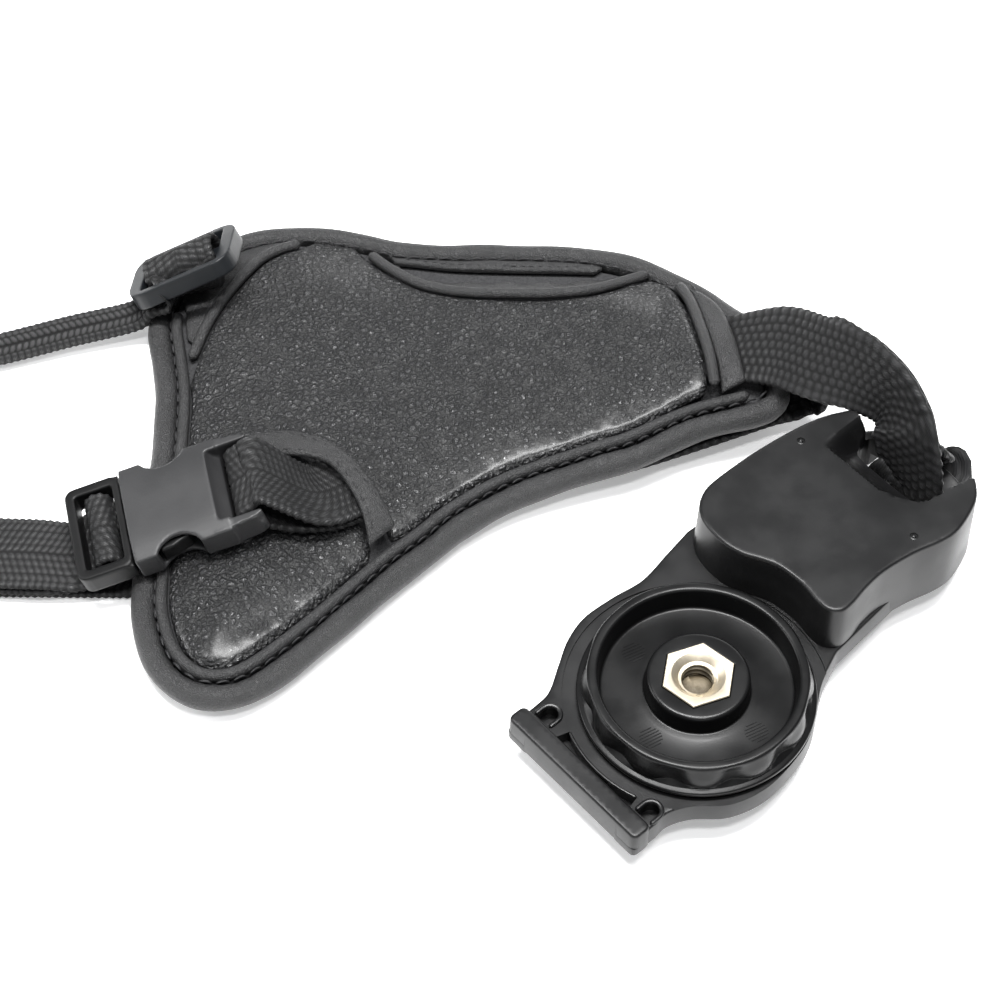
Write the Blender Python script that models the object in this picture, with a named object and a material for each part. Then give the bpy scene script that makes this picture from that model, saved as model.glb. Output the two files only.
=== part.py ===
"""Camera hand grip strap: a padded leather hand pad, a tripod-socket plate with a thumbwheel, a loop of webbing
that joins the two, a wrist strap with a side-release buckle, and a lug strap with a three-bar slide.

All numbers in the functions are millimetres on the table, +Z up; the helper mesh_object turns them into metres
and moves the whole object so that its origin is the middle of its footprint, at table height."""

import math

import bmesh
import bpy
import numpy as np
from mathutils import Matrix, Vector, geometry

# ---------------------------------------------------------------- driving dimensions, mm
SHIFT = (22.37, 6.5, 0.0)        # from the layout's zero to the middle of the footprint

WEB = 15.0                        # webbing width
WEB_T = 1.2                       # webbing thickness

WHEEL_AT = (32.6, -47.5)          # thumbwheel axis
PLATE_TURN = 41.4                 # heading of the plate's long axis, degrees
PLATE_Z0, PLATE_Z1 = 5.3, 9.5     # underside and top of the plate
HEAD_Z1 = 20.0                    # top of the head block
RAIL_Z1 = 10.8                    # top of the front rail
RUBBER_Z0, RUBBER_Z1 = 4.3, 5.0
FLANGE_R, FLANGE_Z0, FLANGE_Z1 = 20.0, 9.9, 10.9
RIM_R, RIM_IN_R, RIM_Z1 = 18.4, 16.5, 15.9
DISH_Z = 11.3
BOSS_R, BOSS_Z1 = 8.6, 15.2
SPIGOT_R, SPIGOT_Z0 = 5.6, 7.9
LOBES, LOBE_H = 12, 0.75
HEX_AF, HEX_Z0, HEX_Z1 = 11.1, 10.6, 15.45
THREAD_R = 3.175                  # 1/4 inch camera thread
STUD_Z0 = 0.0
PLATE_HOLE_R, BORE_R, BORE_Z = 6.0, 8.3, 7.5
CLIP_IN, CLIP_OUT, CLIP_Z0, CLIP_Z1 = 3.55, 7.2, 6.4, 7.2

TUBE_R = 2.1                      # leather binding round the pad's edge
PIPE_R = 1.0                      # thin piping on the seams
LEATHER = 1.2
PAD_LOW, PAD_RISE = 1.6, 5.0      # the pad's underside above the table: at its left end, and how much more at its right

BUCKLE_A = Vector((-74.4, -14.7, 6.9))   # middle of the buckle's outer bar
BUCKLE_B = Vector((-42.0, -6.8, 15.1))   # middle of its inner end
BUCKLE_W, BUCKLE_T = 20.4, 6.6

SLIDE_AT = Vector((-58.8, 45.1, 12.8))
SLIDE_TURN, SLIDE_ROLL, SLIDE_TILT = 7.6, -25.0, -21.4
SLIDE_W, SLIDE_L, SLIDE_T = 21.6, 15.0, 3.4

for old in list(bpy.data.objects):
    bpy.data.objects.remove(old)


# ---------------------------------------------------------------- helpers
def material(name, colour, roughness, metallic=0.0):
    mat = bpy.data.materials.new(name)
    mat.use_nodes = True
    shader = mat.node_tree.nodes["Principled BSDF"]
    shader.inputs["Base Color"].default_value = (*colour, 1)
    shader.inputs["Roughness"].default_value = roughness
    shader.inputs["Metallic"].default_value = metallic
    return mat


def mesh_object(name, bm, mat=None, smooth=True, cutter=False, matrix=None, raw=False):
    """Object from a bmesh in millimetres. With raw set, the bmesh is in its own frame and matrix places it."""
    bmesh.ops.remove_doubles(bm, verts=bm.verts, dist=1e-5)
    bmesh.ops.recalc_face_normals(bm, faces=bm.faces)
    if matrix is not None:
        bm.transform(matrix)
        bmesh.ops.recalc_face_normals(bm, faces=bm.faces)
    bm.transform(Matrix.Translation(Vector(SHIFT)))
    bm.transform(Matrix.Scale(0.001, 4))
    mesh = bpy.data.meshes.new(name)
    bm.to_mesh(mesh)
    bm.free()
    obj = bpy.data.objects.new(name, mesh)
    bpy.context.scene.collection.objects.link(obj)
    if mat:
        obj.data.materials.append(mat)
    if smooth:
        mesh.shade_smooth()
        mesh.set_sharp_from_angle(angle=math.radians(35))
    if cutter:
        obj.hide_render = True
        obj.display_type = "WIRE"
    return obj


def boolean(obj, other, operation="DIFFERENCE"):
    mod = obj.modifiers.new(operation.lower(), "BOOLEAN")
    mod.object = other
    mod.operation = operation
    mod.solver = "EXACT"
    other.hide_render = True
    other.display_type = "WIRE"
    return mod


def set_origin(obj, point_mm):
    """Puts the object's origin at a point of the layout, without moving the mesh."""
    at = (Vector(point_mm) + Vector(SHIFT)) * 0.001
    obj.data.transform(Matrix.Translation(-at))
    obj.location = at


def spline(points, steps, closed=False):
    """Catmull-Rom through the points; each point is a tuple of any length."""
    p = np.array(points, float)
    n = len(p)
    spans = range(n if closed else n - 1)
    out = []
    for i in spans:
        if closed:
            a, b, c, d = p[(i - 1) % n], p[i], p[(i + 1) % n], p[(i + 2) % n]
        else:
            b, c = p[i], p[i + 1]
            a = p[i - 1] if i else 2 * b - c
            d = p[i + 2] if i + 2 < n else 2 * c - b
        for k in range(steps):
            t = k / steps
            out.append(0.5 * (2 * b + (c - a) * t + (2 * a - 5 * b + 4 * c - d) * t**2 + (3 * b - a - 3 * c + d) * t**3))
    if not closed:
        out.append(p[-1])
    return np.array(out)


def even(points, spacing, closed=False):
    """The same line with its points evenly spaced."""
    p = np.array(points, float)
    if closed:
        p = np.vstack([p, p[:1]])
    run = np.concatenate([[0], np.cumsum(np.linalg.norm(np.diff(p[:, :3], axis=0), axis=1))])
    count = max(3, int(round(run[-1] / spacing)))
    at = np.linspace(0, run[-1], count + 1)
    new = np.stack([np.interp(at, run, p[:, k]) for k in range(p.shape[1])], axis=1)
    return new[:-1] if closed else new


def inset(outline, by):
    """A closed outline, counterclockwise, moved inwards."""
    p = np.array(outline, float)[:, :2]
    t = np.roll(p, -1, axis=0) - np.roll(p, 1, axis=0)
    t /= np.linalg.norm(t, axis=1)[:, None]
    return p + by * np.stack([-t[:, 1], t[:, 0]], axis=1)


def inside(points, outline):
    x, y = points[:, 0][:, None], points[:, 1][:, None]
    a, b = outline, np.roll(outline, -1, axis=0)
    cross = ((a[:, 1] > y) != (b[:, 1] > y)) & (
        x < (b[:, 0] - a[:, 0]) * (y - a[:, 1]) / (b[:, 1] - a[:, 1] + 1e-12) + a[:, 0]
    )
    return cross.sum(axis=1) % 2 == 1


def edge_distance(points, outline):
    a, b = outline[None], np.roll(outline, -1, axis=0)[None]
    q = points[:, None, :2]
    t = np.clip(((q - a) * (b - a)).sum(2) / ((b - a) ** 2).sum(2), 0, 1)
    return np.linalg.norm(q - a - t[..., None] * (b - a), axis=2).min(axis=1)


def slab(name, outline, low, high, mat, grid=5.0):
    """A sheet of leather or foam: the outline in plan, between two height functions of (x, y)."""
    ring = np.array(outline, float)[:, :2]
    lo, hi = ring.min(0), ring.max(0)
    xs, ys = np.meshgrid(np.arange(lo[0] + grid / 2, hi[0], grid), np.arange(lo[1] + grid / 2, hi[1], grid))
    inner = np.stack([xs.ravel(), ys.ravel()], axis=1)
    inner = inner[inside(inner, ring)]
    if len(inner):
        inner = inner[edge_distance(inner, ring) > 0.45 * grid]
    flat = [Vector(p) for p in np.vstack([ring, inner])]
    count = len(ring)
    verts, _, faces, *_ = geometry.delaunay_2d_cdt(flat, [], [list(range(count))], 1, 1e-6)
    bm = bmesh.new()
    pts = np.array([(v.x, v.y) for v in verts])
    top = [bm.verts.new((x, y, high(x, y))) for x, y in pts]
    bottom = [bm.verts.new((x, y, low(x, y))) for x, y in pts]
    border = {}
    for face in faces:
        bm.faces.new([top[i] for i in face])
        bm.faces.new([bottom[i] for i in reversed(face)])
        for i, j in zip(face, list(face[1:]) + [face[0]]):
            border[(i, j)] = True
    for i, j in list(border):
        if (j, i) not in border:
            bm.faces.new((top[j], top[i], bottom[i], bottom[j]))
    return mesh_object(name, bm, mat)


def tube(name, path, radius, mat, sides=8, closed=False, flat=1.0):
    """A round tube along a line of (x, y, z) points, with flat ends unless it closes on itself."""
    p = np.array(path, float)
    n = len(p)
    t = np.roll(p, -1, axis=0) - np.roll(p, 1, axis=0)
    if not closed:
        t[0], t[-1] = p[1] - p[0], p[-1] - p[-2]
    t /= np.linalg.norm(t, axis=1)[:, None]
    bm = bmesh.new()
    rings = []
    for centre, along in zip(p, t):
        side = np.cross(along, (0, 0, 1.0))
        side /= np.linalg.norm(side)
        up = np.cross(side, along)
        rings.append(
            [
                bm.verts.new(
                    centre
                    + radius * math.cos(2 * math.pi * (k + 0.5) / sides) * side
                    + flat * radius * math.sin(2 * math.pi * (k + 0.5) / sides) * up
                )
                for k in range(sides)
            ]
        )
    for i in range(n if closed else n - 1):
        a, b = rings[i], rings[(i + 1) % n]
        for k in range(sides):
            bm.faces.new((a[k], a[(k + 1) % sides], b[(k + 1) % sides], b[k]))
    if not closed:
        bm.faces.new(rings[0])
        bm.faces.new(rings[-1])
    return mesh_object(name, bm, mat)


def ribbon(name, stations, mat, thickness=WEB_T, steps=5):
    """Flat webbing. A station is its middle and half its width as a vector: (x, y, z, wx, wy, wz), and, where
    the webbing is folded thicker, a seventh number for the thickness."""
    rows = [tuple(s) + ((thickness,) if len(s) == 6 else ()) for s in stations]
    p = spline(rows, steps)
    c, w, th = p[:, :3], p[:, 3:6], p[:, 6]
    t = np.gradient(c, axis=0)
    t /= np.linalg.norm(t, axis=1)[:, None]
    bm = bmesh.new()
    rings = []
    for centre, half, along, thick in zip(c, w, t, th):
        half = half - (half @ along) * along
        normal = np.cross(along, half)
        normal *= thick / 2 / np.linalg.norm(normal)
        rings.append([bm.verts.new(centre + a * half + b * normal) for a, b in ((1, 1), (-1, 1), (-1, -1), (1, -1))])
    for a, b in zip(rings, rings[1:]):
        for k in range(4):
            bm.faces.new((a[k], a[(k + 1) % 4], b[(k + 1) % 4], b[k]))
    bm.faces.new(rings[0])
    bm.faces.new(rings[-1])
    return mesh_object(name, bm, mat)


def prism(outline, z0, z1, draft=0.0):
    """A closed prism over an outline in plan; draft pulls the top in on every side."""
    bm = bmesh.new()
    ring = np.array(outline, float)[:, :2]
    upper = inset(ring, draft) if draft else ring
    a = [bm.verts.new((x, y, z0)) for x, y in ring]
    b = [bm.verts.new((x, y, z1)) for x, y in upper]
    bm.faces.new(a)
    bm.faces.new(b)
    for i in range(len(a)):
        j = (i + 1) % len(a)
        bm.faces.new((a[i], a[j], b[j], b[i]))
    return bm


def block(x0, x1, y0, y1, z0, z1, bevel=0.0, segments=2):
    bm = bmesh.new()
    bmesh.ops.create_cube(bm, size=1)
    for v in bm.verts:
        v.co = (x0 if v.co.x < 0 else x1, y0 if v.co.y < 0 else y1, z0 if v.co.z < 0 else z1)
    if bevel:
        bmesh.ops.bevel(bm, geom=bm.edges[:], offset=bevel, segments=segments, affect="EDGES", profile=0.5)
    return bm


def turned(profile, segments, radius_of=None):
    """A body of revolution from a closed profile of (radius, height) points; radius_of(r, z, angle) may modulate it."""
    bm = bmesh.new()
    rings = []
    for k in range(segments):
        angle = 2 * math.pi * k / segments
        ring = []
        for r, z in profile:
            if radius_of:
                r = radius_of(r, z, angle)
            ring.append(bm.verts.new((r * math.cos(angle), r * math.sin(angle), z)))
        rings.append(ring)
    n = len(profile)
    for k in range(segments):
        a, b = rings[k], rings[(k + 1) % segments]
        for i in range(n):
            j = (i + 1) % n
            bm.faces.new((a[i], a[j], b[j], b[i]))
    return bm


def rod(radius, z0, z1, segments=32, turn=0.0):
    bm = bmesh.new()
    bottom = [
        bm.verts.new((radius * math.cos(turn + 2 * math.pi * k / segments), radius * math.sin(turn + 2 * math.pi * k / segments), z0))
        for k in range(segments)
    ]
    top = [bm.verts.new((v.co.x, v.co.y, z1)) for v in bottom]
    bm.faces.new(bottom)
    bm.faces.new(top)
    for i in range(segments):
        j = (i + 1) % segments
        bm.faces.new((bottom[i], bottom[j], top[j], top[i]))
    return bm


# ---------------------------------------------------------------- finishes
leather_grain = material("grained leather", (0.018, 0.018, 0.019), 0.42)
leather_smooth = material("smooth leather", (0.03, 0.03, 0.032), 0.55)
foam = material("foam", (0.05, 0.05, 0.05), 0.9)
lining_cloth = material("lining", (0.02, 0.02, 0.022), 0.85)
webbing = material("webbing", (0.012, 0.012, 0.013), 0.75)
plate_plastic = material("plate plastic", (0.012, 0.012, 0.013), 0.4)
wheel_plastic = material("wheel plastic", (0.008, 0.008, 0.009), 0.3)
buckle_plastic = material("buckle plastic", (0.02, 0.02, 0.021), 0.5)
slide_plastic = material("slide plastic", (0.03, 0.03, 0.032), 0.45)
rubber = material("rubber", (0.02, 0.02, 0.02), 0.9)
metal = material("plated metal", (0.8, 0.74, 0.62), 0.25, 1.0)
spring_metal = material("spring metal", (0.45, 0.45, 0.46), 0.35, 1.0)

# ---------------------------------------------------------------- the plate, in its own frame:
# x runs along the plate from the wheel to the head, y to its left, z is height above the table
PLATE = Matrix.Translation((WHEEL_AT[0], WHEEL_AT[1], 0)) @ Matrix.Rotation(math.radians(PLATE_TURN), 4, "Z")


def on_plate(bm, name, mat=None, cutter=False, smooth=True):
    return mesh_object(name, bm, mat, smooth=smooth, cutter=cutter, matrix=PLATE)


plate_left = [(-22.0, 16.3), (-18.2, 16.8), (-13.5, 19.6), (-8.8, 22.4), (-3.5, 24.0), (3.1, 23.8), (9.3, 23.1), (16.2, 24.3), (22.2, 25.4)]
plate_right = [(23.6, -9.8), (17.7, -12.3), (13.4, -15.2), (9.1, -18.0), (4.3, -19.7), (-3.6, -20.6), (-10.4, -18.9), (-15.4, -15.0), (-19.3, -13.4), (-22.0, -13.6)]
left_line = spline(plate_left, 3)
right_line = spline(plate_right, 3)
plate_outline = np.vstack([[(-25.5, 16.3)], left_line, [(40.0, 24.9), (40.0, -8.3)], right_line, [(-25.5, -13.6)]])[::-1]

head_points = [
    (20.3, 21.6), (23.0, 24.2), (27.5, 25.4), (39.2, 25.1), (50.6, 23.3), (58.6, 19.6), (61.8, 16.6), (63.4, 11.0),
    (63.9, 5.0), (63.4, -1.0), (62.0, -4.6), (59.0, -7.8), (55.0, -9.6), (50.8, -10.6), (47.1, -10.3), (41.5, -8.9),
    (35.5, -8.2), (31.0, -8.5), (27.0, -9.2), (24.2, -9.1), (22.3, -7.2), (22.1, -4.4), (22.7, -0.6), (22.4, 4.3),
    (21.2, 7.4), (19.6, 10.4), (18.8, 14.2), (19.1, 18.4),
]
head_outline = even(spline(head_points, 4, closed=True), 2.0, closed=True)[::-1]

base_plate = on_plate(prism(plate_outline, PLATE_Z0, PLATE_Z1, draft=0.25), "base_plate", plate_plastic)
head_block = on_plate(prism(head_outline, PLATE_Z0, HEAD_Z1, draft=0.5), "head_block_shape", cutter=True)
boolean(base_plate, head_block, "UNION")
rail = on_plate(block(-27.2, -23.2, -13.9, 16.9, PLATE_Z0 + 0.02, RAIL_Z1, bevel=0.5), "rail_shape", cutter=True)
boolean(base_plate, rail, "UNION")

# the strap slot: a rounded valley across the back of the head, a slot down through its floor, and a bar left at the back
SLOT_Y0, SLOT_Y1 = -1.6, 16.2
valley = turned([(13.0, -6.0), (13.0, 28.0), (0.01, 28.0), (0.01, -6.0)], 48)
valley.transform(Matrix.Translation((58.6, 0, 26.2)) @ Matrix.Rotation(math.radians(-90), 4, "X"))
valley_cut = on_plate(valley, "valley_cut", cutter=True)
valley_plan = [
    (73.0, 27.0), (57.2, 27.0), (56.6, SLOT_Y1 + 0.6), (56.0, SLOT_Y1), (44.0, SLOT_Y1), (44.5, 8.0), (48.0, 3.5), (49.0, 0.8), (50.3, -1.2), (52.2, -2.2), (54.6, -2.5), (57.8, -2.9), (61.5, -3.8), (66.0, -4.6), (73.0, -5.0),
]
boolean(valley_cut, on_plate(prism(valley_plan, 2.0, 45.0), "valley_plan_shape", cutter=True), "INTERSECT")
boolean(base_plate, valley_cut)
slot_shape = even(spline([(53.3, SLOT_Y0 + 2.2), (54.8, SLOT_Y0 + 0.4), (59.0, SLOT_Y0), (59.0, 7), (59.0, SLOT_Y1), (54.8, SLOT_Y1 - 0.4), (53.3, SLOT_Y1 - 2.2), (52.9, 7)], 4, closed=True), 1.6, closed=True)
slot_cut = on_plate(prism(slot_shape, 0, 30), "slot_cut", cutter=True)
boolean(base_plate, slot_cut)
under_bar = on_plate(block(54.0, 70.0, SLOT_Y0 + 0.05, SLOT_Y1 - 0.05, 0.0, 9.0), "under_bar_cut", cutter=True)
boolean(base_plate, under_bar)

# cores in the head's underside leave a wall of about 2.5 mm and a cross rib
for k, (x0, x1, y0, y1) in enumerate(((24.6, 35.6, -5.6, 7.4), (24.6, 35.6, 9.4, 22.2), (37.6, 48.6, -5.6, 7.4), (37.6, 48.6, 9.4, 21.6))):
    boolean(base_plate, on_plate(block(x0, x1, y0, y1, 0.0, HEAD_Z1 - 2.6), f"core_cut_{k}", cutter=True))

# two D-shaped sockets and a crescent slot between them
for k, (y0, y1) in enumerate(((11.3, 14.8), (-12.9, -9.4))):
    mid, half = (y0 + y1) / 2, (y1 - y0) / 2
    d_shape = [(-22.8, y0), (-22.8, y1)] + [
        (-20.9 + half * math.cos(a), mid + half * math.sin(a)) for a in np.linspace(math.pi / 2, -math.pi / 2, 9)
    ]
    boolean(base_plate, on_plate(prism(d_shape, 6.6, 30), f"socket_cut_{k}", cutter=True))
crescent = [(-23.15, 9.3)] + [(-22.4 * math.cos(a), 22.4 * math.sin(a)) for a in np.linspace(0.39, -0.36, 15)] + [(-23.15, -8.4)]
boolean(base_plate, on_plate(prism(crescent, 7.0, 30), "crescent_cut", cutter=True))

# the hole for the wheel's spigot, with a counterbore below for the retaining clip
boolean(base_plate, on_plate(rod(PLATE_HOLE_R, 0, 30, 40), "spigot_hole_cut", cutter=True))
boolean(base_plate, on_plate(rod(BORE_R, 0, BORE_Z, 40), "clip_bore_cut", cutter=True))

rubber_outline = inset(even(np.vstack([[(-24.0, 15.0)], left_line[3:], [(36.0, 24.6), (47.0, 23.0), (49.2, 20.5), (49.2, -7.5), (47.0, -9.0), (36.0, -7.6)], right_line[:-3], [(-24.0, -12.2)]])[::-1], 3.0, closed=True), 1.8)
grip_rubber = on_plate(prism(rubber_outline, RUBBER_Z0, RUBBER_Z1), "grip_rubber", rubber)
boolean(grip_rubber, on_plate(rod(BORE_R + 0.5, 0, 30, 40), "rubber_hole_cut", cutter=True))

# ---------------------------------------------------------------- the thumbwheel, on the axis of the camera screw
WHEEL = Matrix.Translation((WHEEL_AT[0], WHEEL_AT[1], 0))


def lobed(r, z, angle):
    """Scallops between the smooth flange and the smooth rim."""
    if r < 17.6 or z <= FLANGE_Z1 + 0.01 or z >= RIM_Z1 - 0.5:
        return r
    share = 1 - abs((z - FLANGE_Z1) / (RIM_Z1 - FLANGE_Z1) - 0.4) * 1.1
    return r + LOBE_H * max(0.0, share) * math.cos(LOBES * angle)


wheel_profile = [
    (THREAD_R + 0.45, SPIGOT_Z0), (SPIGOT_R, SPIGOT_Z0), (SPIGOT_R, FLANGE_Z0), (FLANGE_R - 0.3, FLANGE_Z0), (FLANGE_R, FLANGE_Z0 + 0.4),
    (FLANGE_R - 0.2, FLANGE_Z1), (18.8, FLANGE_Z1 + 0.4), (18.7, FLANGE_Z1 + 2.0),
    (18.5, FLANGE_Z1 + 3.4), (RIM_R, RIM_Z1 - 0.5), (RIM_R - 0.7, RIM_Z1), (RIM_IN_R + 0.2, RIM_Z1 - 0.1),
    (RIM_IN_R - 0.1, RIM_Z1 - 0.6), (RIM_IN_R - 0.4, DISH_Z), (BOSS_R, DISH_Z),
    (BOSS_R, BOSS_Z1 - 0.8), (BOSS_R - 0.8, BOSS_Z1), (THREAD_R + 0.45, BOSS_Z1),
]
thumbwheel = mesh_object("thumbwheel", turned(wheel_profile, 60, lobed), wheel_plastic, matrix=WHEEL)
HEX_TURN = math.radians(20.0)
hex_pocket = mesh_object("hex_pocket_cut", rod((HEX_AF / 2 + 0.2) / math.cos(math.pi / 6), HEX_Z0 - 0.3, 30, 6, HEX_TURN), cutter=True, matrix=WHEEL)
boolean(thumbwheel, hex_pocket)
set_origin(thumbwheel, (*WHEEL_AT, 0))

# one turned and threaded piece: a hexagon with a threaded socket above, the camera stud below
screw = mesh_object("tripod_socket_screw", rod(HEX_AF / 2 / math.cos(math.pi / 6), HEX_Z0, HEX_Z1, 6, HEX_TURN), metal, matrix=WHEEL)
stud = turned([(0.01, STUD_Z0), (THREAD_R - 0.5, STUD_Z0), (THREAD_R, STUD_Z0 + 0.5), (THREAD_R, HEX_Z0 + 0.4), (0.01, HEX_Z0 + 0.4)], 32)
boolean(screw, mesh_object("stud_shape", stud, cutter=True, matrix=WHEEL), "UNION")
socket = turned([(0.01, 11.2), (THREAD_R, 11.2), (THREAD_R, HEX_Z1 - 1.1), (THREAD_R + 1.2, HEX_Z1 + 0.1), (THREAD_R + 1.2, 30), (0.01, 30)], 32)
boolean(screw, mesh_object("socket_cut", socket, cutter=True, matrix=WHEEL))
set_origin(screw, (*WHEEL_AT, 0))

clip = bmesh.new()
arc = np.linspace(math.radians(25), math.radians(335), 29)
rings = [
    [clip.verts.new((r * math.cos(a), r * math.sin(a), z)) for r, z in ((CLIP_IN, CLIP_Z0), (CLIP_OUT, CLIP_Z0), (CLIP_OUT, CLIP_Z1), (CLIP_IN, CLIP_Z1))]
    for a in arc
]
for a, b in zip(rings, rings[1:]):
    for k in range(4):
        clip.faces.new((a[k], a[(k + 1) % 4], b[(k + 1) % 4], b[k]))
clip.faces.new(rings[0])
clip.faces.new(rings[-1])
retaining_clip = mesh_object("retaining_clip", clip, spring_metal, matrix=WHEEL)
set_origin(retaining_clip, (*WHEEL_AT, 0))


# ---------------------------------------------------------------- the hand pad
def smooth_step(t):
    t = min(1.0, max(0.0, t))
    return t * t * (3 - 2 * t)


def pad_low(x, y):
    return PAD_LOW + PAD_RISE * smooth_step((x + 15) / 65)


pad_edge = [
    (-62.6, 45.5), (-64.0, 37.4), (-62.6, 28.5), (-61.3, 20.3), (-60.9, 11.0), (-61.0, 4.0), (-61.8, -9.0), (-61.9, -23.5), (-60.9, -31.0),
    (-57.9, -38.6), (-52.7, -43.6), (-46.6, -44.6), (-40.2, -41.8), (-30.5, -32.8), (-18.8, -20.3), (-11.8, -13.8),
    (-6.3, -8.6), (2.9, -2.8), (17.4, 2.3), (24.6, 4.5), (35.4, 9.6), (45.6, 12.6), (49.8, 15.2), (50.6, 19.6),
    (49.4, 26.0), (46.2, 32.2), (42.0, 36.6), (36.6, 41.8), (27.9, 48.4), (18.7, 52.4), (9.5, 54.3), (0.0, 55.4),
    (-10.0, 56.0), (-19.4, 56.8), (-27.2, 59.0), (-38.9, 60.8), (-49.3, 58.7), (-57.2, 53.1),
]
edge_line = even(spline(pad_edge, 6, closed=True), 4.4, closed=True)
edge_ring = edge_line[:, :2]


def crown(x, y):
    d = float(edge_distance(np.array([[x, y]]), edge_ring)[0])
    swell = 3.3 * (1 - math.exp(-((d / 10.0) ** 1.6)))
    lift = 1.8 * math.exp(-(((x - 4) / 17) ** 2) - (((y - 40) / 9) ** 2))
    return swell + lift + 1.7 * smooth_step((x - 28) / 9)


def pad_top(x, y):
    return pad_low(x, y) + 3.9 + crown(x, y)


def strap_room(x, y):
    """Depth left between foam and leather for the sewn end of the plate strap."""
    return 2.7 * smooth_step((x - 15) / 8)


CRESCENT = [(-25.6, 55.2), (-21.8, 50.8), (-17.0, 46.4), (-13.0, 43.9), (-5.7, 41.4), (5.6, 39.8), (13.1, 40.0), (18.7, 41.4), (26.0, 45.2), (28.6, 46.2)]
LEFT_ARC = [(-58.3, 23.0), (-57.2, 27.6), (-55.0, 34.8), (-51.9, 42.0), (-48.4, 48.4), (-45.5, 52.8), (-42.3, 55.5), (-38.4, 57.2)]
END_SEAM = [(33.4, 42.4), (35.3, 37.2), (36.8, 29.8), (38.2, 21.6), (38.9, 15.2)]
END_EDGE = [(35.4, 41.2), (38.3, 39.2), (41.2, 35.2), (42.9, 28.6), (43.9, 21.6), (44.5, 16.6)]
STRIP_TOP = [(-56.9, 6.8), (-48.6, 7.3), (-39.8, 6.8), (-34.0, 4.4), (-28.2, 0.6), (-22.6, -5.8), (-18.2, -13.2)]
STRIP_LOW = [(-57.1, 1.2), (-46.0, 1.0), (-36.0, -0.6), (-30.2, -2.6), (-26.6, -7.0), (-24.0, -12.2), (-22.6, -17.2)]


def crescent_y(x):
    """Far limit of the upper leather, where the crescent is cut out of it."""
    pts = np.array(CRESCENT)
    return float(np.interp(x, pts[:, 0], pts[:, 1], left=1e3, right=1e3))


def core_top(x, y):
    top = pad_top(x, y) - LEATHER - 0.35 - strap_room(x, y)
    behind = smooth_step((y - crescent_y(x) + 3.0) / 3) if crescent_y(x) < 500 else 0.0
    top = top * (1 - behind) + (pad_low(x, y) + 2.1) * behind
    right = smooth_step((x - 36) / 5)
    return max(top * (1 - right) + (pad_low(x, y) + 2.0) * right, pad_low(x, y) + 2.0)


lining = slab("pad_lining", even(inset(edge_line, TUBE_R + 0.35), 4.0, closed=True), lambda x, y: pad_low(x, y) + 0.3, lambda x, y: pad_low(x, y) + 1.1, lining_cloth, grid=9.0)
core = slab("foam_core", even(inset(edge_line, TUBE_R + 0.9), 4.0, closed=True), lambda x, y: pad_low(x, y) + 1.4, core_top, foam, grid=7.0)
binding = tube("edge_binding", [(x, y, pad_low(x, y) + TUBE_R + 0.05) for x, y in edge_ring], TUBE_R, leather_smooth, sides=8, closed=True)

inner_ring = inset(edge_line, TUBE_R + PIPE_R + 0.3)
start = int(np.argmin(np.linalg.norm(inner_ring - np.array((-61.0, 40.0)), axis=1)))
stop = int(np.argmin(np.linalg.norm(inner_ring - np.array((45.0, 15.6)), axis=1)))
run = inner_ring[start:stop + 1] if stop > start else np.vstack([inner_ring[start:], inner_ring[:stop + 1]])
inner_piping = tube("inner_piping", [(x, y, pad_low(x, y) + 3.9) for x, y in run], PIPE_R, leather_smooth, sides=6)


def upper(z_extra):
    return lambda x, y: pad_top(x, y) + z_extra


lower_run = [tuple(p) for p in inset(edge_line, TUBE_R + 2 * PIPE_R + 0.75)]


def run_between(first, last):
    """Points of the pad's inner line from near one place to near another, counterclockwise."""
    line = np.array(lower_run)
    i = int(np.argmin(np.linalg.norm(line - np.array(first), axis=1)))
    j = int(np.argmin(np.linalg.norm(line - np.array(last), axis=1)))
    return [tuple(p) for p in (line[i:j + 1] if j >= i else np.vstack([line[i:], line[:j + 1]]))]


def offset_line(points, by):
    """An open line moved to its left by a distance."""
    p = np.array(points, float)
    t = np.gradient(p, axis=0)
    t /= np.linalg.norm(t, axis=1)[:, None]
    return [tuple(q) for q in p + by * np.stack([-t[:, 1], t[:, 0]], axis=1)]


GAP = PIPE_R + 0.45
arc_line = spline(LEFT_ARC, 3)
crescent_line = spline(CRESCENT, 3)
seam_line = spline(END_SEAM, 3)
strip_mid = spline([((a + c) / 2, (b + d) / 2) for (a, b), (c, d) in zip(STRIP_TOP, STRIP_LOW)], 3)
inset_ring = np.array(inset(edge_line, TUBE_R + 0.7))


def rear_run(first, last):
    i = int(np.argmin(np.linalg.norm(inset_ring - np.array(first), axis=1)))
    j = int(np.argmin(np.linalg.norm(inset_ring - np.array(last), axis=1)))
    return [tuple(p) for p in (inset_ring[i:j + 1] if j >= i else np.vstack([inset_ring[i:], inset_ring[:j + 1]]))]


# main panel, counterclockwise from the cross strip's lower end
main_outline = (
    run_between((-16.0, -12.0), (37.0, 14.2))
    + offset_line(seam_line, -GAP)[::-1][1:-1]
    + rear_run((31.5, 43.2), (29.6, 44.6))
    + offset_line(crescent_line, -GAP)[::-1][1:-1]
    + rear_run((-28.0, 56.0), (-35.2, 57.4))
    + offset_line(arc_line, -GAP)[::-1][1:]
    + run_between((-57.0, 19.0), (-56.6, 8.0))
    + offset_line(strip_mid, 2.3)[1:-1]
)
main_panel = slab("main_panel", main_outline, upper(-LEATHER), upper(0), leather_grain, grid=6.5)
lobe_outline = run_between((-57.4, -3.0), (-22.5, -19.0)) + offset_line(strip_mid, -2.3)[::-1][1:-1]
lobe_panel = slab("lobe_panel", lobe_outline, upper(-LEATHER), upper(0), leather_grain, grid=6.5)


def tab_bump(x, y):
    return 5.0 * math.exp(-(((x + 29.0) / 14) ** 4) - (((y + 5.0) / 14) ** 4))


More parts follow.
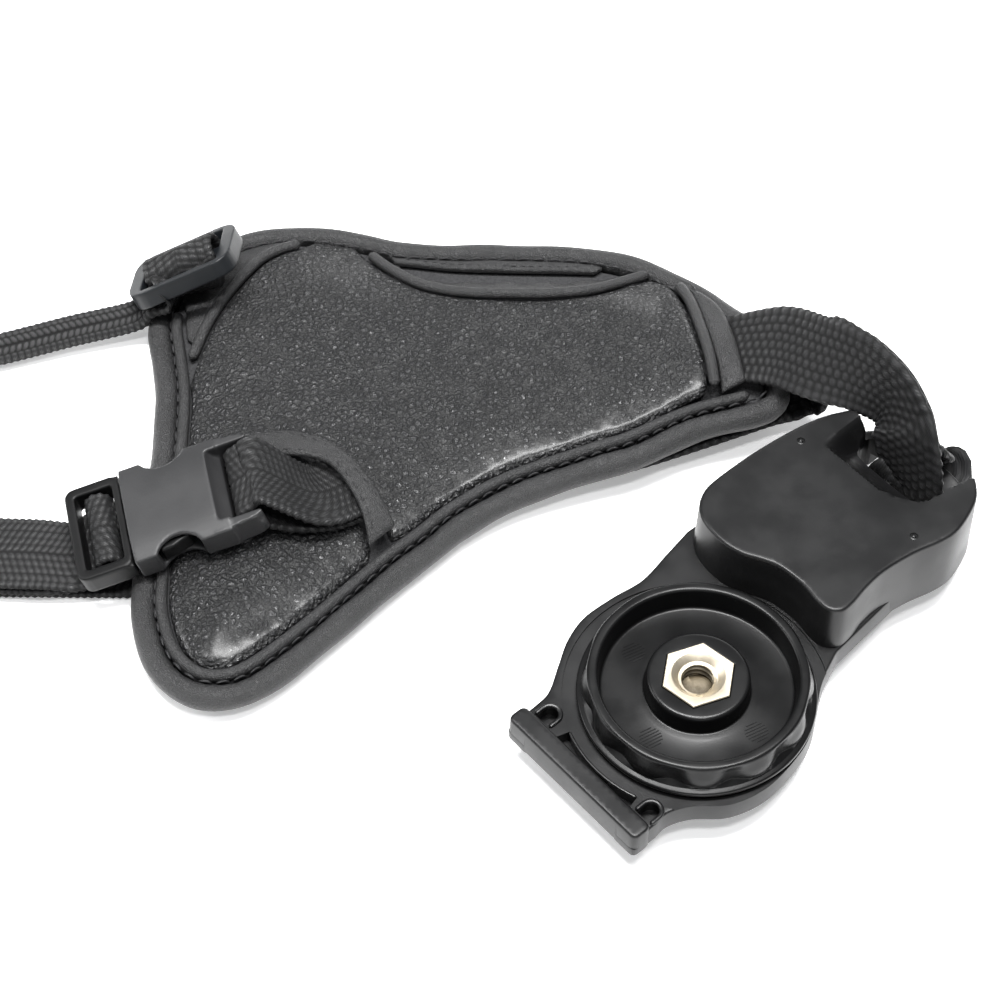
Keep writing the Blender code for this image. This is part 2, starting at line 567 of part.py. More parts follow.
strip_outline = spline(STRIP_LOW, 3).tolist() + spline(STRIP_TOP, 3).tolist()[::-1]
cross_strip = slab("cross_strip", strip_outline, lambda x, y: pad_top(x, y) + 0.35 + tab_bump(x, y), lambda x, y: pad_top(x, y) + 1.35 + tab_bump(x, y), leather_smooth, grid=4.0)

gusset_outline = (
    offset_line(arc_line, GAP + 0.15)[7:-1]
    + rear_run((-43.0, 57.6), (-60.0, 44.5))
    + [(x + 0.5, y) for x, y in run_between((-60.0, 39.0), (-59.2, 32.8))]
)
corner_gusset = slab("corner_gusset", gusset_outline, upper(-0.9), upper(0), leather_smooth, grid=5.0)
arc_piping = tube("arc_piping", [(x, y, pad_top(x, y) - 0.2) for x, y in arc_line[4:]], PIPE_R, leather_smooth, sides=6)
crescent_piping = tube("crescent_piping", [(x, y, pad_top(x, y) - 0.2) for x, y in crescent_line[1:-1]], PIPE_R, leather_smooth, sides=6)
end_piping = tube("end_piping", [(x, y, pad_top(x, y) - 0.3) for x, y in seam_line[:-1]], PIPE_R, leather_smooth, sides=6)

# the facing behind the crescent, which turns down into the pad's opening
facing_back = [(-20.6, 52.6), (-17.0, 50.2), (-13.4, 47.6), (-3.8, 46.6), (5.7, 45.2), (13.2, 45.0), (18.9, 46.2), (24.6, 47.0)]
facing_outline = offset_line(crescent_line, GAP)[3:-3] + spline(facing_back, 3).tolist()[::-1]


def facing_top(x, y):
    return pad_top(x, y) - 0.3 - 0.24 * max(0.0, y - crescent_y(x))


crescent_facing = slab("crescent_facing", facing_outline, lambda x, y: facing_top(x, y) - 1.0, facing_top, leather_smooth, grid=4.0)
band_front = [(-20.0, 52.9), (-16.0, 52.4), (-9.6, 51.4), (0.0, 50.4), (9.0, 49.4), (14.0, 48.8), (18.0, 48.2)]
band_outline = spline(band_front, 3).tolist() + rear_run((19.6, 49.2), (-21.0, 53.9))
rear_band = slab("rear_band", band_outline, lambda x, y: pad_low(x, y) + 2.9, lambda x, y: pad_low(x, y) + 3.9, leather_smooth, grid=4.0)
end_outline = offset_line(seam_line, GAP)[1:] + [(44.0, 17.4)] + spline(END_EDGE, 2).tolist()[::-1][1:-1]
end_strip = slab("end_strip", end_outline, upper(-0.85), upper(0), leather_smooth, grid=4.0)

# ---------------------------------------------------------------- the plate strap
# from the sewn end inside the pad, out over the pad's right end, turning as it goes down into the head's slot,
# round the head's bar and back behind itself, under the pad, to a second sewn end
OUTER = [(44.0, 35.2, 10.9), (51.6, 28.5, 20.0), (58.7, 18.0, 27.4), (65.1, 8.8, 32.2), (69.7, 0.8, 33.0), (72.8, -5.0, 31.0), (74.2, -8.2, 27.0), (74.7, -11.2, 20.5)]
INNER = [(44.6, 20.6, 10.3), (48.6, 15.9, 13.8), (54.2, 11.3, 17.2), (60.2, 7.9, 19.8), (64.6, 4.8, 21.2), (66.1, 1.8, 19.8), (66.0, -0.4, 18.2), (65.4, 0.2, 17.4)]


def station(outer, inner, shift=(0, 0, 0)):
    o, i = Vector(outer), Vector(inner)
    mid = (o + i) / 2 + Vector(shift)
    half = (i - o).normalized() * (WEB / 2)
    return (*mid, *half)


def slot_point(s, z, y=7.1):
    at = PLATE @ Vector((s, y, z))
    across = PLATE.to_3x3() @ Vector((0, WEB / 2, 0))
    return (*at, *across)


def plate_station(outer, inner):
    return station(PLATE @ Vector(outer), PLATE @ Vector(inner))


upper_layer = [station(o, i) for o, i in zip(OUTER, INNER)]


def pad_station(x, y, z, heading):
    a = math.radians(heading + 90)
    return (x, y, z, -WEB / 2 * math.cos(a), -WEB / 2 * math.sin(a), 0)


def under_leather(x, y):
    return pad_top(x, y) - LEATHER - 1.05 - WEB_T / 2


first = [pad_station(x, y, under_leather(x, y), 0) for x, y in ((25.0, 26.8), (31.0, 26.9), (37.0, 27.0))]
first.append(pad_station(41.6, 27.1, under_leather(41.6, 27.1), 0))
down = [
    plate_station((56.1, -1.0, 18.0), (56.7, 10.6, 8.4)), plate_station((56.2, -0.9, 11.5), (56.6, 13.2, 7.8)),
    slot_point(58.4, 7.2), slot_point(62.4, 7.3), slot_point(65.2, 7.4),
]
BACK_OUTER = [(79.4, -1.5, 8.6), (77.9, 0.1, 12.4), (76.6, -3.6, 17.6), (74.9, -5.8, 23.9), (73.5, -2.5, 27.9), (70.3, 3.3, 30.0), (65.7, 11.4, 29.2), (59.2, 20.6, 24.4)]
BACK_INNER = [(70.5, 8.6, 9.8), (69.5, 8.3, 14.6), (68.8, 3.0, 16.8), (66.4, 1.3, 16.0), (66.5, 3.5, 17.6), (65.0, 6.5, 19.1), (60.6, 9.7, 17.7), (54.5, 13.1, 15.1)]
back = [station(o, i) for o, i in zip(BACK_OUTER, BACK_INNER)]
under = [
    pad_station(56.2, 22.4, 8.6, 30), pad_station(52.2, 21.6, 5.4, 24), pad_station(47.0, 19.8, pad_low(47, 20) - 1.1, 22), pad_station(41.0, 17.4, pad_low(41, 17) - 1.0, 21),
    pad_station(33.0, 14.5, pad_low(33, 14) - 1.0, 19), pad_station(24.0, 11.6, pad_low(24, 11) - 1.0, 17), pad_station(15.0, 9.3, pad_low(15, 9) - 1.0, 15),
]
plate_strap = ribbon("plate_strap", first + upper_layer[1:-1] + down + back + under, webbing, steps=4)

# ---------------------------------------------------------------- the side-release buckle, in its own frame:
# x from the outer bar towards the pad, y across, z through its thickness
bx = (BUCKLE_B - BUCKLE_A).normalized()
by = Vector((-bx.y, bx.x, 0)).normalized()
bz = bx.cross(by)
BUCKLE = Matrix.Translation(BUCKLE_A) @ Matrix((bx, by, bz)).transposed().to_4x4()
MOUTH, TOP_END, ARM_END = 10.5, 28.4, 34.4
HW, HT = BUCKLE_W / 2, BUCKLE_T / 2


def on_buckle(bm, name, mat=None, cutter=False):
    return mesh_object(name, bm, mat, cutter=cutter, matrix=BUCKLE)


buckle_female = on_buckle(block(MOUTH, TOP_END, -HW, HW, -HT, HT, bevel=1.1, segments=3), "buckle_female", buckle_plastic)
for k, side in enumerate((1, -1)):
    y0, y1 = sorted((side * (HW - 0.1), side * (WEB / 2 + 0.45)))
    boolean(buckle_female, on_buckle(block(TOP_END - 3.0, ARM_END, y0, y1, -HT + 0.3, HT - 1.3, bevel=0.5), f"arm_shape_{k}", cutter=True), "UNION")
end_bar = rod(1.35, -HW + 1.0, HW - 1.0, 16)
end_bar.transform(Matrix.Translation((ARM_END - 1.9, 0, -0.6)) @ Matrix.Rotation(math.radians(90), 4, "X"))
boolean(buckle_female, on_buckle(end_bar, "end_bar_shape", cutter=True), "UNION")
boolean(buckle_female, on_buckle(block(MOUTH - 2, 26.0, -8.5, 8.5, -1.95, 1.95), "cavity_cut", cutter=True))
for k, side in enumerate((1, -1)):
    y0, y1 = sorted((side * 7.0, side * 14))
    boolean(buckle_female, on_buckle(block(14.6, 22.4, y0, y1, -1.94, 1.94), f"window_cut_{k}", cutter=True))
    bite = rod(4.5, -9, 9, 36)
    bite.transform(Matrix.Translation((18.6, side * (HW + 1.9), 0)))
    boolean(buckle_female, on_buckle(bite, f"bite_cut_{k}", cutter=True))

male = bmesh.new()
male_outline = [
    (0.0, -8.2), (0.8, -9.7), (2.2, -10.1), (10.1, -10.1), (10.1, -6.9), (15.2, -6.6), (15.3, -8.9), (17.4, -8.8), (20.4, -7.6), (22.6, -5.2),
    (21.9, -4.4), (19.8, -4.9), (10.1, -4.7), (10.1, -1.1), (20.8, -0.9), (20.8, 0.9), (10.1, 1.1), (10.1, 4.7), (19.8, 4.9), (21.9, 4.4),
    (22.6, 5.2), (20.4, 7.6), (17.4, 8.8), (15.3, 8.9), (15.2, 6.6), (10.1, 6.9), (10.1, 10.1), (2.2, 10.1), (0.8, 9.7), (0.0, 8.2),
]
buckle_male = on_buckle(prism(male_outline, -1.6, 1.6), "buckle_male", buckle_plastic)
boolean(buckle_male, on_buckle(block(0.05, 10.15, -10.0, 10.0, -2.1, 2.1, bevel=0.7), "male_frame_shape", cutter=True), "UNION")
for k, (x0, x1) in enumerate(((2.5, 4.6), (6.4, 8.5))):
    boolean(buckle_male, on_buckle(block(x0, x1, -8.1, 8.1, -9, 9), f"web_slot_cut_{k}", cutter=True))
boolean(buckle_male, on_buckle(block(4.3, 6.7, -8.05, 8.05, 0.6, 9), "middle_bar_cut", cutter=True))


def on_buckle_point(x, z, half=WEB / 2, y=0.0):
    return (*(BUCKLE @ Vector((x, y, z))), *(BUCKLE.to_3x3() @ Vector((0, half, 0))))


# ---------------------------------------------------------------- the buckle's short webbing tab
def across_tab(angle):
    a = math.radians(angle)
    return (-math.sin(a) * WEB / 2, math.cos(a) * WEB / 2, 0.0)


def tab_z(x, y, layer):
    return pad_top(x, y) + (0.95, 2.45)[layer]


buckle_tab = ribbon(
    "buckle_tab",
    [
        (-25.6, -3.6, tab_z(-25.6, -3.6, 1), *across_tab(40)),
        (-28.4, -5.6, tab_z(-28.4, -5.6, 1), *across_tab(38)),
        (-33.4, -7.9, 12.4, *across_tab(25)),
        on_buckle_point(34.9, 2.3),
        on_buckle_point(32.6, 2.0),
        on_buckle_point(30.2, 1.0),
        on_buckle_point(29.7, -0.8),
        on_buckle_point(30.6, -2.5),
        on_buckle_point(33.0, -3.4),
        (-36.0, -7.6, tab_z(-36.0, -7.6, 0) + 0.8, *across_tab(22)),
        (-31.6, -6.9, tab_z(-31.6, -6.9, 0) + 0.1, *across_tab(30)),
        (-28.4, -5.6, tab_z(-28.4, -5.6, 0), *across_tab(38)),
        (-25.6, -3.6, tab_z(-25.6, -3.6, 0), *across_tab(40)),
    ],
    webbing,
    steps=4,
)

# ---------------------------------------------------------------- the wrist strap
# sewn under the pad, out to the left, back on itself and through the buckle's ladder bars, with a short free end
level = (0.0, WEB / 2, 0.0)
WRIST_OUT = -126.0
wrist_strap = ribbon(
    "wrist_strap",
    [
        (-44.0, -14.6, 0.72, *level), (-54.0, -14.6, 0.7, *level), (-70.0, -14.4, 0.7, *level), (-90.0, -14.2, 0.7, *level),
        (-110.0, -14.0, 0.7, *level), (-122.0, -14.0, 0.75, *level), (WRIST_OUT, -14.0, 1.7, *level), (WRIST_OUT - 0.6, -14.0, 3.4, *level),
        (-124.0, -14.0, 4.9, *level), (-118.0, -14.0, 5.0, *level), (-104.0, -14.1, 4.1, *level), (-92.0, -14.3, 3.7, *level), (-82.0, -14.7, 3.75, *level),
        on_buckle_point(-1.6, -3.3), on_buckle_point(1.2, -3.0), on_buckle_point(3.1, -2.7), on_buckle_point(3.6, -0.9), on_buckle_point(3.9, 0.9),
        on_buckle_point(5.5, 1.75), on_buckle_point(7.0, 0.9), on_buckle_point(7.45, -0.8), on_buckle_point(6.9, -3.9), on_buckle_point(3.4, -5.0),
        (-78.4, -15.0, 2.3, *level), (-84.0, -14.8, 2.2, *level), (-90.0, -14.6, 2.2, *level),
    ],
    webbing,
    steps=4,
)

# ---------------------------------------------------------------- the three-bar slide, in its own frame
SLIDE = (
    Matrix.Translation(SLIDE_AT)
    @ Matrix.Rotation(math.radians(SLIDE_TURN), 4, "Z")
    @ Matrix.Rotation(math.radians(SLIDE_ROLL), 4, "Y")
    @ Matrix.Rotation(math.radians(SLIDE_TILT), 4, "X")
)
slide_plan = [
    (sx * (SLIDE_W / 2 - 3.6) + 3.6 * math.cos(a), sy * (SLIDE_L / 2 - 3.6) + 3.6 * math.sin(a))
    for sx, sy, a0 in ((1, 1, 0.0), (-1, 1, 0.5), (-1, -1, 1.0), (1, -1, 1.5))
    for a in np.linspace(a0, a0 + 0.5, 6) * math.pi
]
slide_body = prism(slide_plan, -SLIDE_T / 2, SLIDE_T / 2)
bmesh.ops.bevel(slide_body, geom=[e for e in slide_body.edges if abs(e.verts[0].co.z - e.verts[1].co.z) < 0.1], offset=0.6, segments=2, affect="EDGES", profile=0.5)
slide_frame = mesh_object("strap_slide", slide_body, slide_plastic, matrix=SLIDE)
for k, (y0, y1) in enumerate(((-5.9, -1.5), (1.5, 5.9))):
    boolean(slide_frame, mesh_object(f"slide_slot_cut_{k}", block(-8.0, 8.0, y0, y1, -9, 9), cutter=True, matrix=SLIDE))
boolean(slide_frame, mesh_object("slide_bar_cut", block(-7.95, 7.95, -1.7, 1.7, 0.6, 9), cutter=True, matrix=SLIDE))


def on_slide(y, z, half=7.3, x=0.0):
    return (*(SLIDE @ Vector((x, y, z))), *(SLIDE.to_3x3() @ Vector((half, 0, 0))))


# ---------------------------------------------------------------- the lug strap
# from under the pad's corner, through the slide, then folded lengthwise as a narrow tail that runs off to the left
se = (0.824 * 7.3, 0.566 * 7.3, 0.0)
tail = (0.55, 2.6, 1.3)
lug_strap = ribbon(
    "lug_strap",
    [
        (-51.6, 42.4, 0.72, *se), (-55.6, 48.2, 0.72, *se), (-58.8, 53.8, 0.85, *se), (-60.8, 56.2, 2.3, 6.4, 3.3, 1.1), (-60.8, 56.2, 4.6, 6.6, 2.2, 2.2),
        (-59.4, 54.8, 6.5, 6.6, 1.5, 2.8),
        on_slide(6.8, -2.75), on_slide(5.0, -2.4), on_slide(3.8, -0.9), on_slide(3.4, 0.6), on_slide(2.4, 2.6), on_slide(0.0, 3.6), on_slide(-2.4, 2.6),
        on_slide(-3.3, 0.6), on_slide(-3.3, -1.2, 7.0),
        (-60.2, 41.4, 9.6, 5.2, 3.0, 1.2, 1.3),
        (-64.6, 40.6, 7.6, 2.2, 3.2, 0.5, 1.5),
        (-69.2, 39.6, 5.0, *tail, 2.6), (-81.0, 36.9, 3.8, *tail, 3.0), (-94.0, 33.0, 3.15, *tail, 3.0),
        (-108.0, 29.2, 3.1, *tail, 3.0), (-124.0, 25.0, 3.1, *tail, 3.0),
    ],
    webbing,
    steps=4,
)
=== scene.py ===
import math

import bmesh
import bpy
import numpy as np
from mathutils import Matrix, Vector, geometry


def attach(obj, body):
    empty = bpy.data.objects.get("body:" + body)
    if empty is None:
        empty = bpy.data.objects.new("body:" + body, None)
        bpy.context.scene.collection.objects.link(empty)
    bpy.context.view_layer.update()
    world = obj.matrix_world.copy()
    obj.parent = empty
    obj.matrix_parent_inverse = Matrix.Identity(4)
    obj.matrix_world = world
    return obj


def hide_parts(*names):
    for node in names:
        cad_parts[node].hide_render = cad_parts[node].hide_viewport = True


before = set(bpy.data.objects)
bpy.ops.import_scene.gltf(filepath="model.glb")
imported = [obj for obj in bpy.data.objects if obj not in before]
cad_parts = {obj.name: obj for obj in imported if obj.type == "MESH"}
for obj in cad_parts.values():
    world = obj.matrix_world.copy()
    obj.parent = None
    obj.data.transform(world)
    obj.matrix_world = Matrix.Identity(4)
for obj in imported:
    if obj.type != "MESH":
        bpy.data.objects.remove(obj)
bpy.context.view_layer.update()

# Lengths below are millimetres in the CAD model's own layout; SHIFT and 0.001 bring them into the shared frame.
SHIFT = Vector((22.37, 6.5, 0.0))
TO_FRAME = Matrix.Scale(0.001, 4) @ Matrix.Translation(SHIFT)
WHEEL_AT = (32.6, -47.5)
PLATE_TURN = 41.4
PLATE = Matrix.Translation((WHEEL_AT[0], WHEEL_AT[1], 0)) @ Matrix.Rotation(math.radians(PLATE_TURN), 4, "Z")
WHEEL = Matrix.Translation((WHEEL_AT[0], WHEEL_AT[1], 0))
WEB, WEB_T = 15.0, 1.2
TUBE_R, PIPE_R, LEATHER = 2.1, 1.0, 1.2
PAD_LOW, PAD_RISE = 1.6, 5.0

# ================================================================ camera, light and floor
scene = bpy.context.scene
cam_data = bpy.data.cameras.new("camera")
cam_data.sensor_width = 36.0
cam_data.lens = 89.69
cam_data.clip_start, cam_data.clip_end = 0.01, 20.0
camera = bpy.data.objects.new("camera", cam_data)
scene.collection.objects.link(camera)
camera.location = (0.02237, -0.2708 + 0.0065, 0.3594)
camera.rotation_euler = (math.radians(37.0), 0, 0)
scene.camera = camera
scene.view_settings.view_transform = "Standard"
scene.view_settings.look = "None"

world = bpy.data.worlds.new("studio")
scene.world = world
world.use_nodes = True
world.node_tree.nodes["Background"].inputs["Color"].default_value = (0.93, 0.965, 1.0, 1)
world.node_tree.nodes["Background"].inputs["Strength"].default_value = 0.27


def area_light(name, at, towards, size, power, size_y=None):
    data = bpy.data.lights.new(name, "AREA")
    data.energy = power
    data.size = size
    if size_y:
        data.shape = "RECTANGLE"
        data.size_y = size_y
    obj = bpy.data.objects.new(name, data)
    obj.location = at
    obj.rotation_euler = (Vector(towards) - Vector(at)).to_track_quat("-Z", "Y").to_euler()
    scene.collection.objects.link(obj)
    return obj


area_light("key_overhead", (0.0, 0.05, 0.95), (0.0, 0.03, 0.0), 0.62, 19.0, 0.12)
area_light("sparkle_front", (0.10, -0.30, 0.90), (0.0, 0.0, 0.0), 0.13, 3.5, 0.10)
area_light("fill_front", (0.15, -0.95, 0.45), (0.0, 0.0, 0.0), 0.5, 1.0)
area_light("fill_left", (-0.85, 0.1, 0.5), (0.0, 0.0, 0.0), 0.4, 4.0)
area_light("rim_back", (0.35, 0.95, 0.55), (0.0, 0.0, 0.0), 0.7, 3.0, 0.3)


# ================================================================ materials
class Graph:
    """Short hand for building a material's nodes. An input is a value, or another node's output."""

    def __init__(self, name, colour, roughness, metallic=0.0, **sockets):
        self.mat = bpy.data.materials.new(name)
        self.mat.use_nodes = True
        self.tree = self.mat.node_tree
        self.shader = self.tree.nodes["Principled BSDF"]
        self.shader.inputs["Base Color"].default_value = (*colour, 1)
        self.shader.inputs["Roughness"].default_value = roughness
        self.shader.inputs["Metallic"].default_value = metallic
        for key, value in sockets.items():
            self.shader.inputs[key.replace("_", " ")].default_value = value

    def put(self, socket, value):
        if isinstance(value, bpy.types.NodeSocket):
            self.tree.links.new(value, socket)
        else:
            socket.default_value = value

    def node(self, kind, inputs=(), **settings):
        n = self.tree.nodes.new(kind)
        for key, value in settings.items():
            setattr(n, key, value)
        for key, value in dict(inputs).items():
            self.put(n.inputs[key], value)
        return n

    def where(self, scale=1000.0, stretch=(1, 1, 1), uv=False):
        """Coordinates in units of 1 / scale metres, or from the webbing's own UV map in millimetres."""
        coord = self.node("ShaderNodeTexCoord")
        size = 1.0 if uv else scale
        return self.node(
            "ShaderNodeMapping",
            {"Vector": coord.outputs["UV" if uv else "Object"], "Scale": (size * stretch[0], size * stretch[1], size * stretch[2])},
        ).outputs["Vector"]

    def math(self, kind, a, b=0.0, c=0.0, clamp=False):
        n = self.node("ShaderNodeMath", {0: a, 1: b, 2: c}, operation=kind, use_clamp=clamp)
        return n.outputs[0]

    def ramp(self, value, low, high, to_low=0.0, to_high=1.0, smooth=True):
        n = self.node(
            "ShaderNodeMapRange",
            {"Value": value, "From Min": low, "From Max": high, "To Min": to_low, "To Max": to_high},
            interpolation_type="SMOOTHSTEP" if smooth else "LINEAR",
        )
        return n.outputs["Result"]

    def noise(self, vector, scale, detail=2.0, rough=0.5):
        return self.node("ShaderNodeTexNoise", {"Vector": vector, "Scale": scale, "Detail": detail, "Roughness": rough})

    def cells(self, vector, scale, feature="DISTANCE_TO_EDGE", randomness=1.0):
        return self.node("ShaderNodeTexVoronoi", {"Vector": vector, "Scale": scale, "Randomness": randomness}, feature=feature)

    def bend(self, vector, amount, scale):
        """The same coordinates, pushed about by a soft noise."""
        n = self.noise(vector, scale, 1.0)
        off = self.node("ShaderNodeVectorMath", {0: n.outputs["Color"], 1: (0.5, 0.5, 0.5)}, operation="SUBTRACT")
        big = self.node("ShaderNodeVectorMath", {0: off.outputs[0], "Scale": amount}, operation="SCALE")
        return self.node("ShaderNodeVectorMath", {0: vector, 1: big.outputs[0]}, operation="ADD").outputs[0]

    def bump(self, height, metres, strength=1.0, after=None):
        inputs = {"Height": height, "Distance": metres, "Strength": strength}
        if after is not None:
            inputs["Normal"] = after
        n = self.node("ShaderNodeBump", inputs)
        self.put(self.shader.inputs["Normal"], n.outputs[0])
        return n.outputs[0]

    def colour(self, factor, low, high):
        n = self.node("ShaderNodeMix", data_type="RGBA")
        self.put(n.inputs[0], factor)
        n.inputs[6].default_value = (*low, 1)
        n.inputs[7].default_value = (*high, 1)
        self.put(self.shader.inputs["Base Color"], n.outputs[2])
        return n.outputs[2]


def grained_leather():
    g = Graph("leather_grained", (0.02, 0.02, 0.021), 0.4, Coat_Weight=0.25, Coat_Roughness=0.22)
    at = g.bend(g.where(), 0.55, 0.9)
    pebble = g.cells(at, 0.84, randomness=0.95).outputs["Distance"]
    small = g.cells(g.bend(g.where(), 0.3, 2.0), 2.1).outputs["Distance"]
    dome = g.ramp(pebble, 0.0, 0.32)
    nub = g.ramp(small, 0.0, 0.3)
    soft = g.noise(g.where(), 0.22, 2.0).outputs["Fac"]
    pores = g.noise(g.where(), 7.0, 2.0).outputs["Fac"]
    height = g.math("ADD", g.math("MULTIPLY", dome, 0.74), g.math("ADD", g.math("MULTIPLY", nub, 0.2), g.math("MULTIPLY", pores, 0.06)))
    patch = g.ramp(soft, 0.3, 0.7, 0.75, 1.15)
    g.bump(g.math("MULTIPLY", height, patch), 0.00042, 1.0)
    # painted shade: the colour is darkest in the crevices between pebbles and lightest on the pebble tops; the soft
    # noise adds the leather's own patchy tone
    g.colour(g.math("MULTIPLY", dome, g.ramp(soft, 0.25, 0.75, 0.75, 1.0)), (0.002, 0.002, 0.0022), (0.024, 0.024, 0.0255))
    rough = g.math("ADD", g.ramp(height, 0.2, 0.95, 0.56, 0.24), g.math("MULTIPLY", g.math("SUBTRACT", soft, 0.5), 0.12))
    g.put(g.shader.inputs["Roughness"], rough)
    return g.mat


def smooth_leather(name="leather_smooth", base=0.021, rough=0.46):
    g = Graph(name, (base,) * 3, rough)
    at = g.bend(g.where(), 0.3, 1.6)
    fine = g.cells(at, 2.6).outputs["Distance"]
    grain = g.ramp(fine, 0.0, 0.28)
    speck = g.noise(g.where(), 5.5, 3.0, 0.6).outputs["Fac"]
    soft = g.noise(g.where(), 0.25, 2.0).outputs["Fac"]
    height = g.math("ADD", g.math("MULTIPLY", grain, 0.4), g.math("MULTIPLY", speck, 0.6))
    g.bump(height, 0.00022, 0.9)
    g.colour(g.math("ADD", g.math("MULTIPLY", grain, 0.5), g.math("MULTIPLY", soft, 0.6)), (base * 0.55,) * 3, (base * 1.15, base * 1.15, base * 1.2))
    g.put(g.shader.inputs["Roughness"], g.ramp(speck, 0.3, 0.75, rough + 0.07, rough - 0.07))
    return g.mat


def webbing_cloth():
    g = Graph("webbing_nylon", (0.012, 0.012, 0.013), 0.5, Specular_IOR_Level=0.4)
    at = g.where(uv=True)
    ply = g.node("ShaderNodeTexWave", {"Vector": at, "Scale": 1.35, "Distortion": 1.6, "Detail": 2.0, "Detail Scale": 1.6}, wave_type="BANDS", bands_direction="DIAGONAL").outputs["Fac"]
    fibre = g.noise(g.where(uv=True, stretch=(1.2, 6.0, 1)), 2.2, 3.0, 0.65).outputs["Fac"]
    soft = g.noise(g.where(), 0.35, 2.0).outputs["Fac"]
    height = g.math("ADD", g.math("MULTIPLY", ply, 0.5), g.math("MULTIPLY", fibre, 0.5))
    g.bump(height, 0.00010, 0.8)
    yarn = g.node("ShaderNodeAttribute", attribute_name="weave").outputs["Fac"]
    tone = g.math("ADD", g.math("MULTIPLY", fibre, 0.6), g.math("MULTIPLY", soft, 0.4))
    # painted shade: the colour is darkened almost to black in the low gaps between yarns, by the weave height; the
    # fibre and soft noise give the yarn's own tone
    g.colour(g.math("MULTIPLY", tone, g.ramp(yarn, 0.2, 0.85, 0.05, 1.0)), (0.0008, 0.0008, 0.0009), (0.023, 0.023, 0.0242))
    g.put(g.shader.inputs["Roughness"], g.math("ADD", g.ramp(fibre, 0.3, 0.7, 0.10, -0.08), g.ramp(yarn, 0.1, 0.9, 0.85, 0.38)))
    return g.mat


def moulded(name, base, rough, tint=(1.0, 1.0, 1.04), texture=0.000012, scale=5.0, spread=0.05, specular=0.5):
    """Injection-moulded plastic: a fine spark-eroded grain, slow changes of gloss, and faint scuffs."""
    g = Graph(name, tuple(base * t for t in tint), rough, Specular_IOR_Level=specular)
    grit = g.noise(g.where(), scale, 3.0, 0.65).outputs["Fac"]
    slow = g.noise(g.where(), 0.12, 3.0).outputs["Fac"]
    scuff = g.noise(g.where(stretch=(0.25, 2.4, 1.0)), 0.8, 3.0, 0.7).outputs["Fac"]
    g.bump(grit, texture, 1.0)
    g.colour(g.math("ADD", g.math("MULTIPLY", grit, 0.5), g.math("MULTIPLY", slow, 0.5)), tuple(base * 0.8 * t for t in tint), tuple(base * 1.2 * t for t in tint))
    base_rough = g.ramp(slow, 0.3, 0.7, rough - spread, rough + spread)
    g.put(g.shader.inputs["Roughness"], g.math("ADD", base_rough, g.ramp(scuff, 0.62, 0.8, 0.0, spread)))
    return g.mat


def plated():
    g = Graph("plated_brass", (0.92, 0.88, 0.80), 0.26, 1.0)
    at = g.where()
    lathe = g.node("ShaderNodeTexWave", {"Vector": at, "Scale": 2.6, "Distortion": 0.6, "Detail": 2.0}, wave_type="RINGS", rings_direction="Z").outputs["Fac"]
    pits = g.noise(at, 3.5, 4.0, 0.65).outputs["Fac"]
    slow = g.noise(at, 0.4, 2.0).outputs["Fac"]
    g.bump(g.math("ADD", g.math("MULTIPLY", lathe, 0.6), g.math("MULTIPLY", pits, 0.4)), 0.000003, 0.6)
    # painted shade: an ambient-occlusion node darkens the metal's colour inside the threaded hole and other hollows,
    # where shade falls
    hole_shade = g.node("ShaderNodeAmbientOcclusion", {"Distance": 0.004}, samples=8).outputs["AO"]
    g.colour(g.math("MULTIPLY", g.ramp(hole_shade, 0.42, 0.97, 0.0, 1.0), g.ramp(slow, 0.2, 0.8, 0.85, 1.0)), (0.05, 0.038, 0.022), (0.66, 0.59, 0.47))
    g.put(g.shader.inputs["Roughness"], g.ramp(pits, 0.3, 0.75, 0.38, 0.48))
    return g.mat


def steel():
    g = Graph("spring_steel", (0.42, 0.42, 0.44), 0.35, 1.0)
    brushed = g.noise(g.where(stretch=(1.0, 9.0, 1.0)), 2.0, 3.0, 0.6).outputs["Fac"]
    g.bump(brushed, 0.00001, 0.8)
    g.colour(brushed, (0.30, 0.30, 0.32), (0.50, 0.50, 0.51))
    g.put(g.shader.inputs["Roughness"], g.ramp(brushed, 0.3, 0.7, 0.28, 0.45))
    return g.mat


def microfibre():
    g = Graph("lining_microfibre", (0.02, 0.02, 0.022), 0.9, Sheen_Weight=0.35, Sheen_Roughness=0.5)
    nap = g.noise(g.where(stretch=(1.0, 2.6, 1.0)), 2.4, 4.0, 0.7).outputs["Fac"]
    soft = g.noise(g.where(), 0.08, 2.0).outputs["Fac"]
    g.bump(nap, 0.00012, 0.8)
    g.colour(g.math("ADD", g.math("MULTIPLY", nap, 0.6), g.math("MULTIPLY", soft, 0.4)), (0.010, 0.010, 0.011), (0.030, 0.030, 0.032))
    g.put(g.shader.inputs["Roughness"], g.ramp(nap, 0.3, 0.7, 0.95, 0.8))
    return g.mat


def foam_skin():
    g = Graph("foam_cells", (0.03, 0.03, 0.032), 0.92)
    cells = g.cells(g.where(), 2.2, feature="F1").outputs["Distance"]
    soft = g.noise(g.where(), 0.3, 2.0).outputs["Fac"]
    g.bump(cells, 0.0002, 0.8)
    g.colour(g.math("ADD", g.math("MULTIPLY", cells, 0.6), g.math("MULTIPLY", soft, 0.4)), (0.008, 0.008, 0.009), (0.04, 0.04, 0.042))
    g.put(g.shader.inputs["Roughness"], g.ramp(soft, 0.3, 0.7, 0.88, 0.96))
    return g.mat


def thread_cloth():
    g = Graph("sewing_thread", (0.012, 0.012, 0.013), 0.48)
    twist = g.node("ShaderNodeTexWave", {"Vector": g.where(), "Scale": 3.0, "Distortion": 1.0}, wave_type="BANDS", bands_direction="DIAGONAL").outputs["Fac"]
    g.bump(twist, 0.00005, 0.8)
    g.colour(twist, (0.006, 0.006, 0.007), (0.022, 0.022, 0.023))
    g.put(g.shader.inputs["Roughness"], g.ramp(twist, 0.2, 0.8, 0.58, 0.4))
    return g.mat


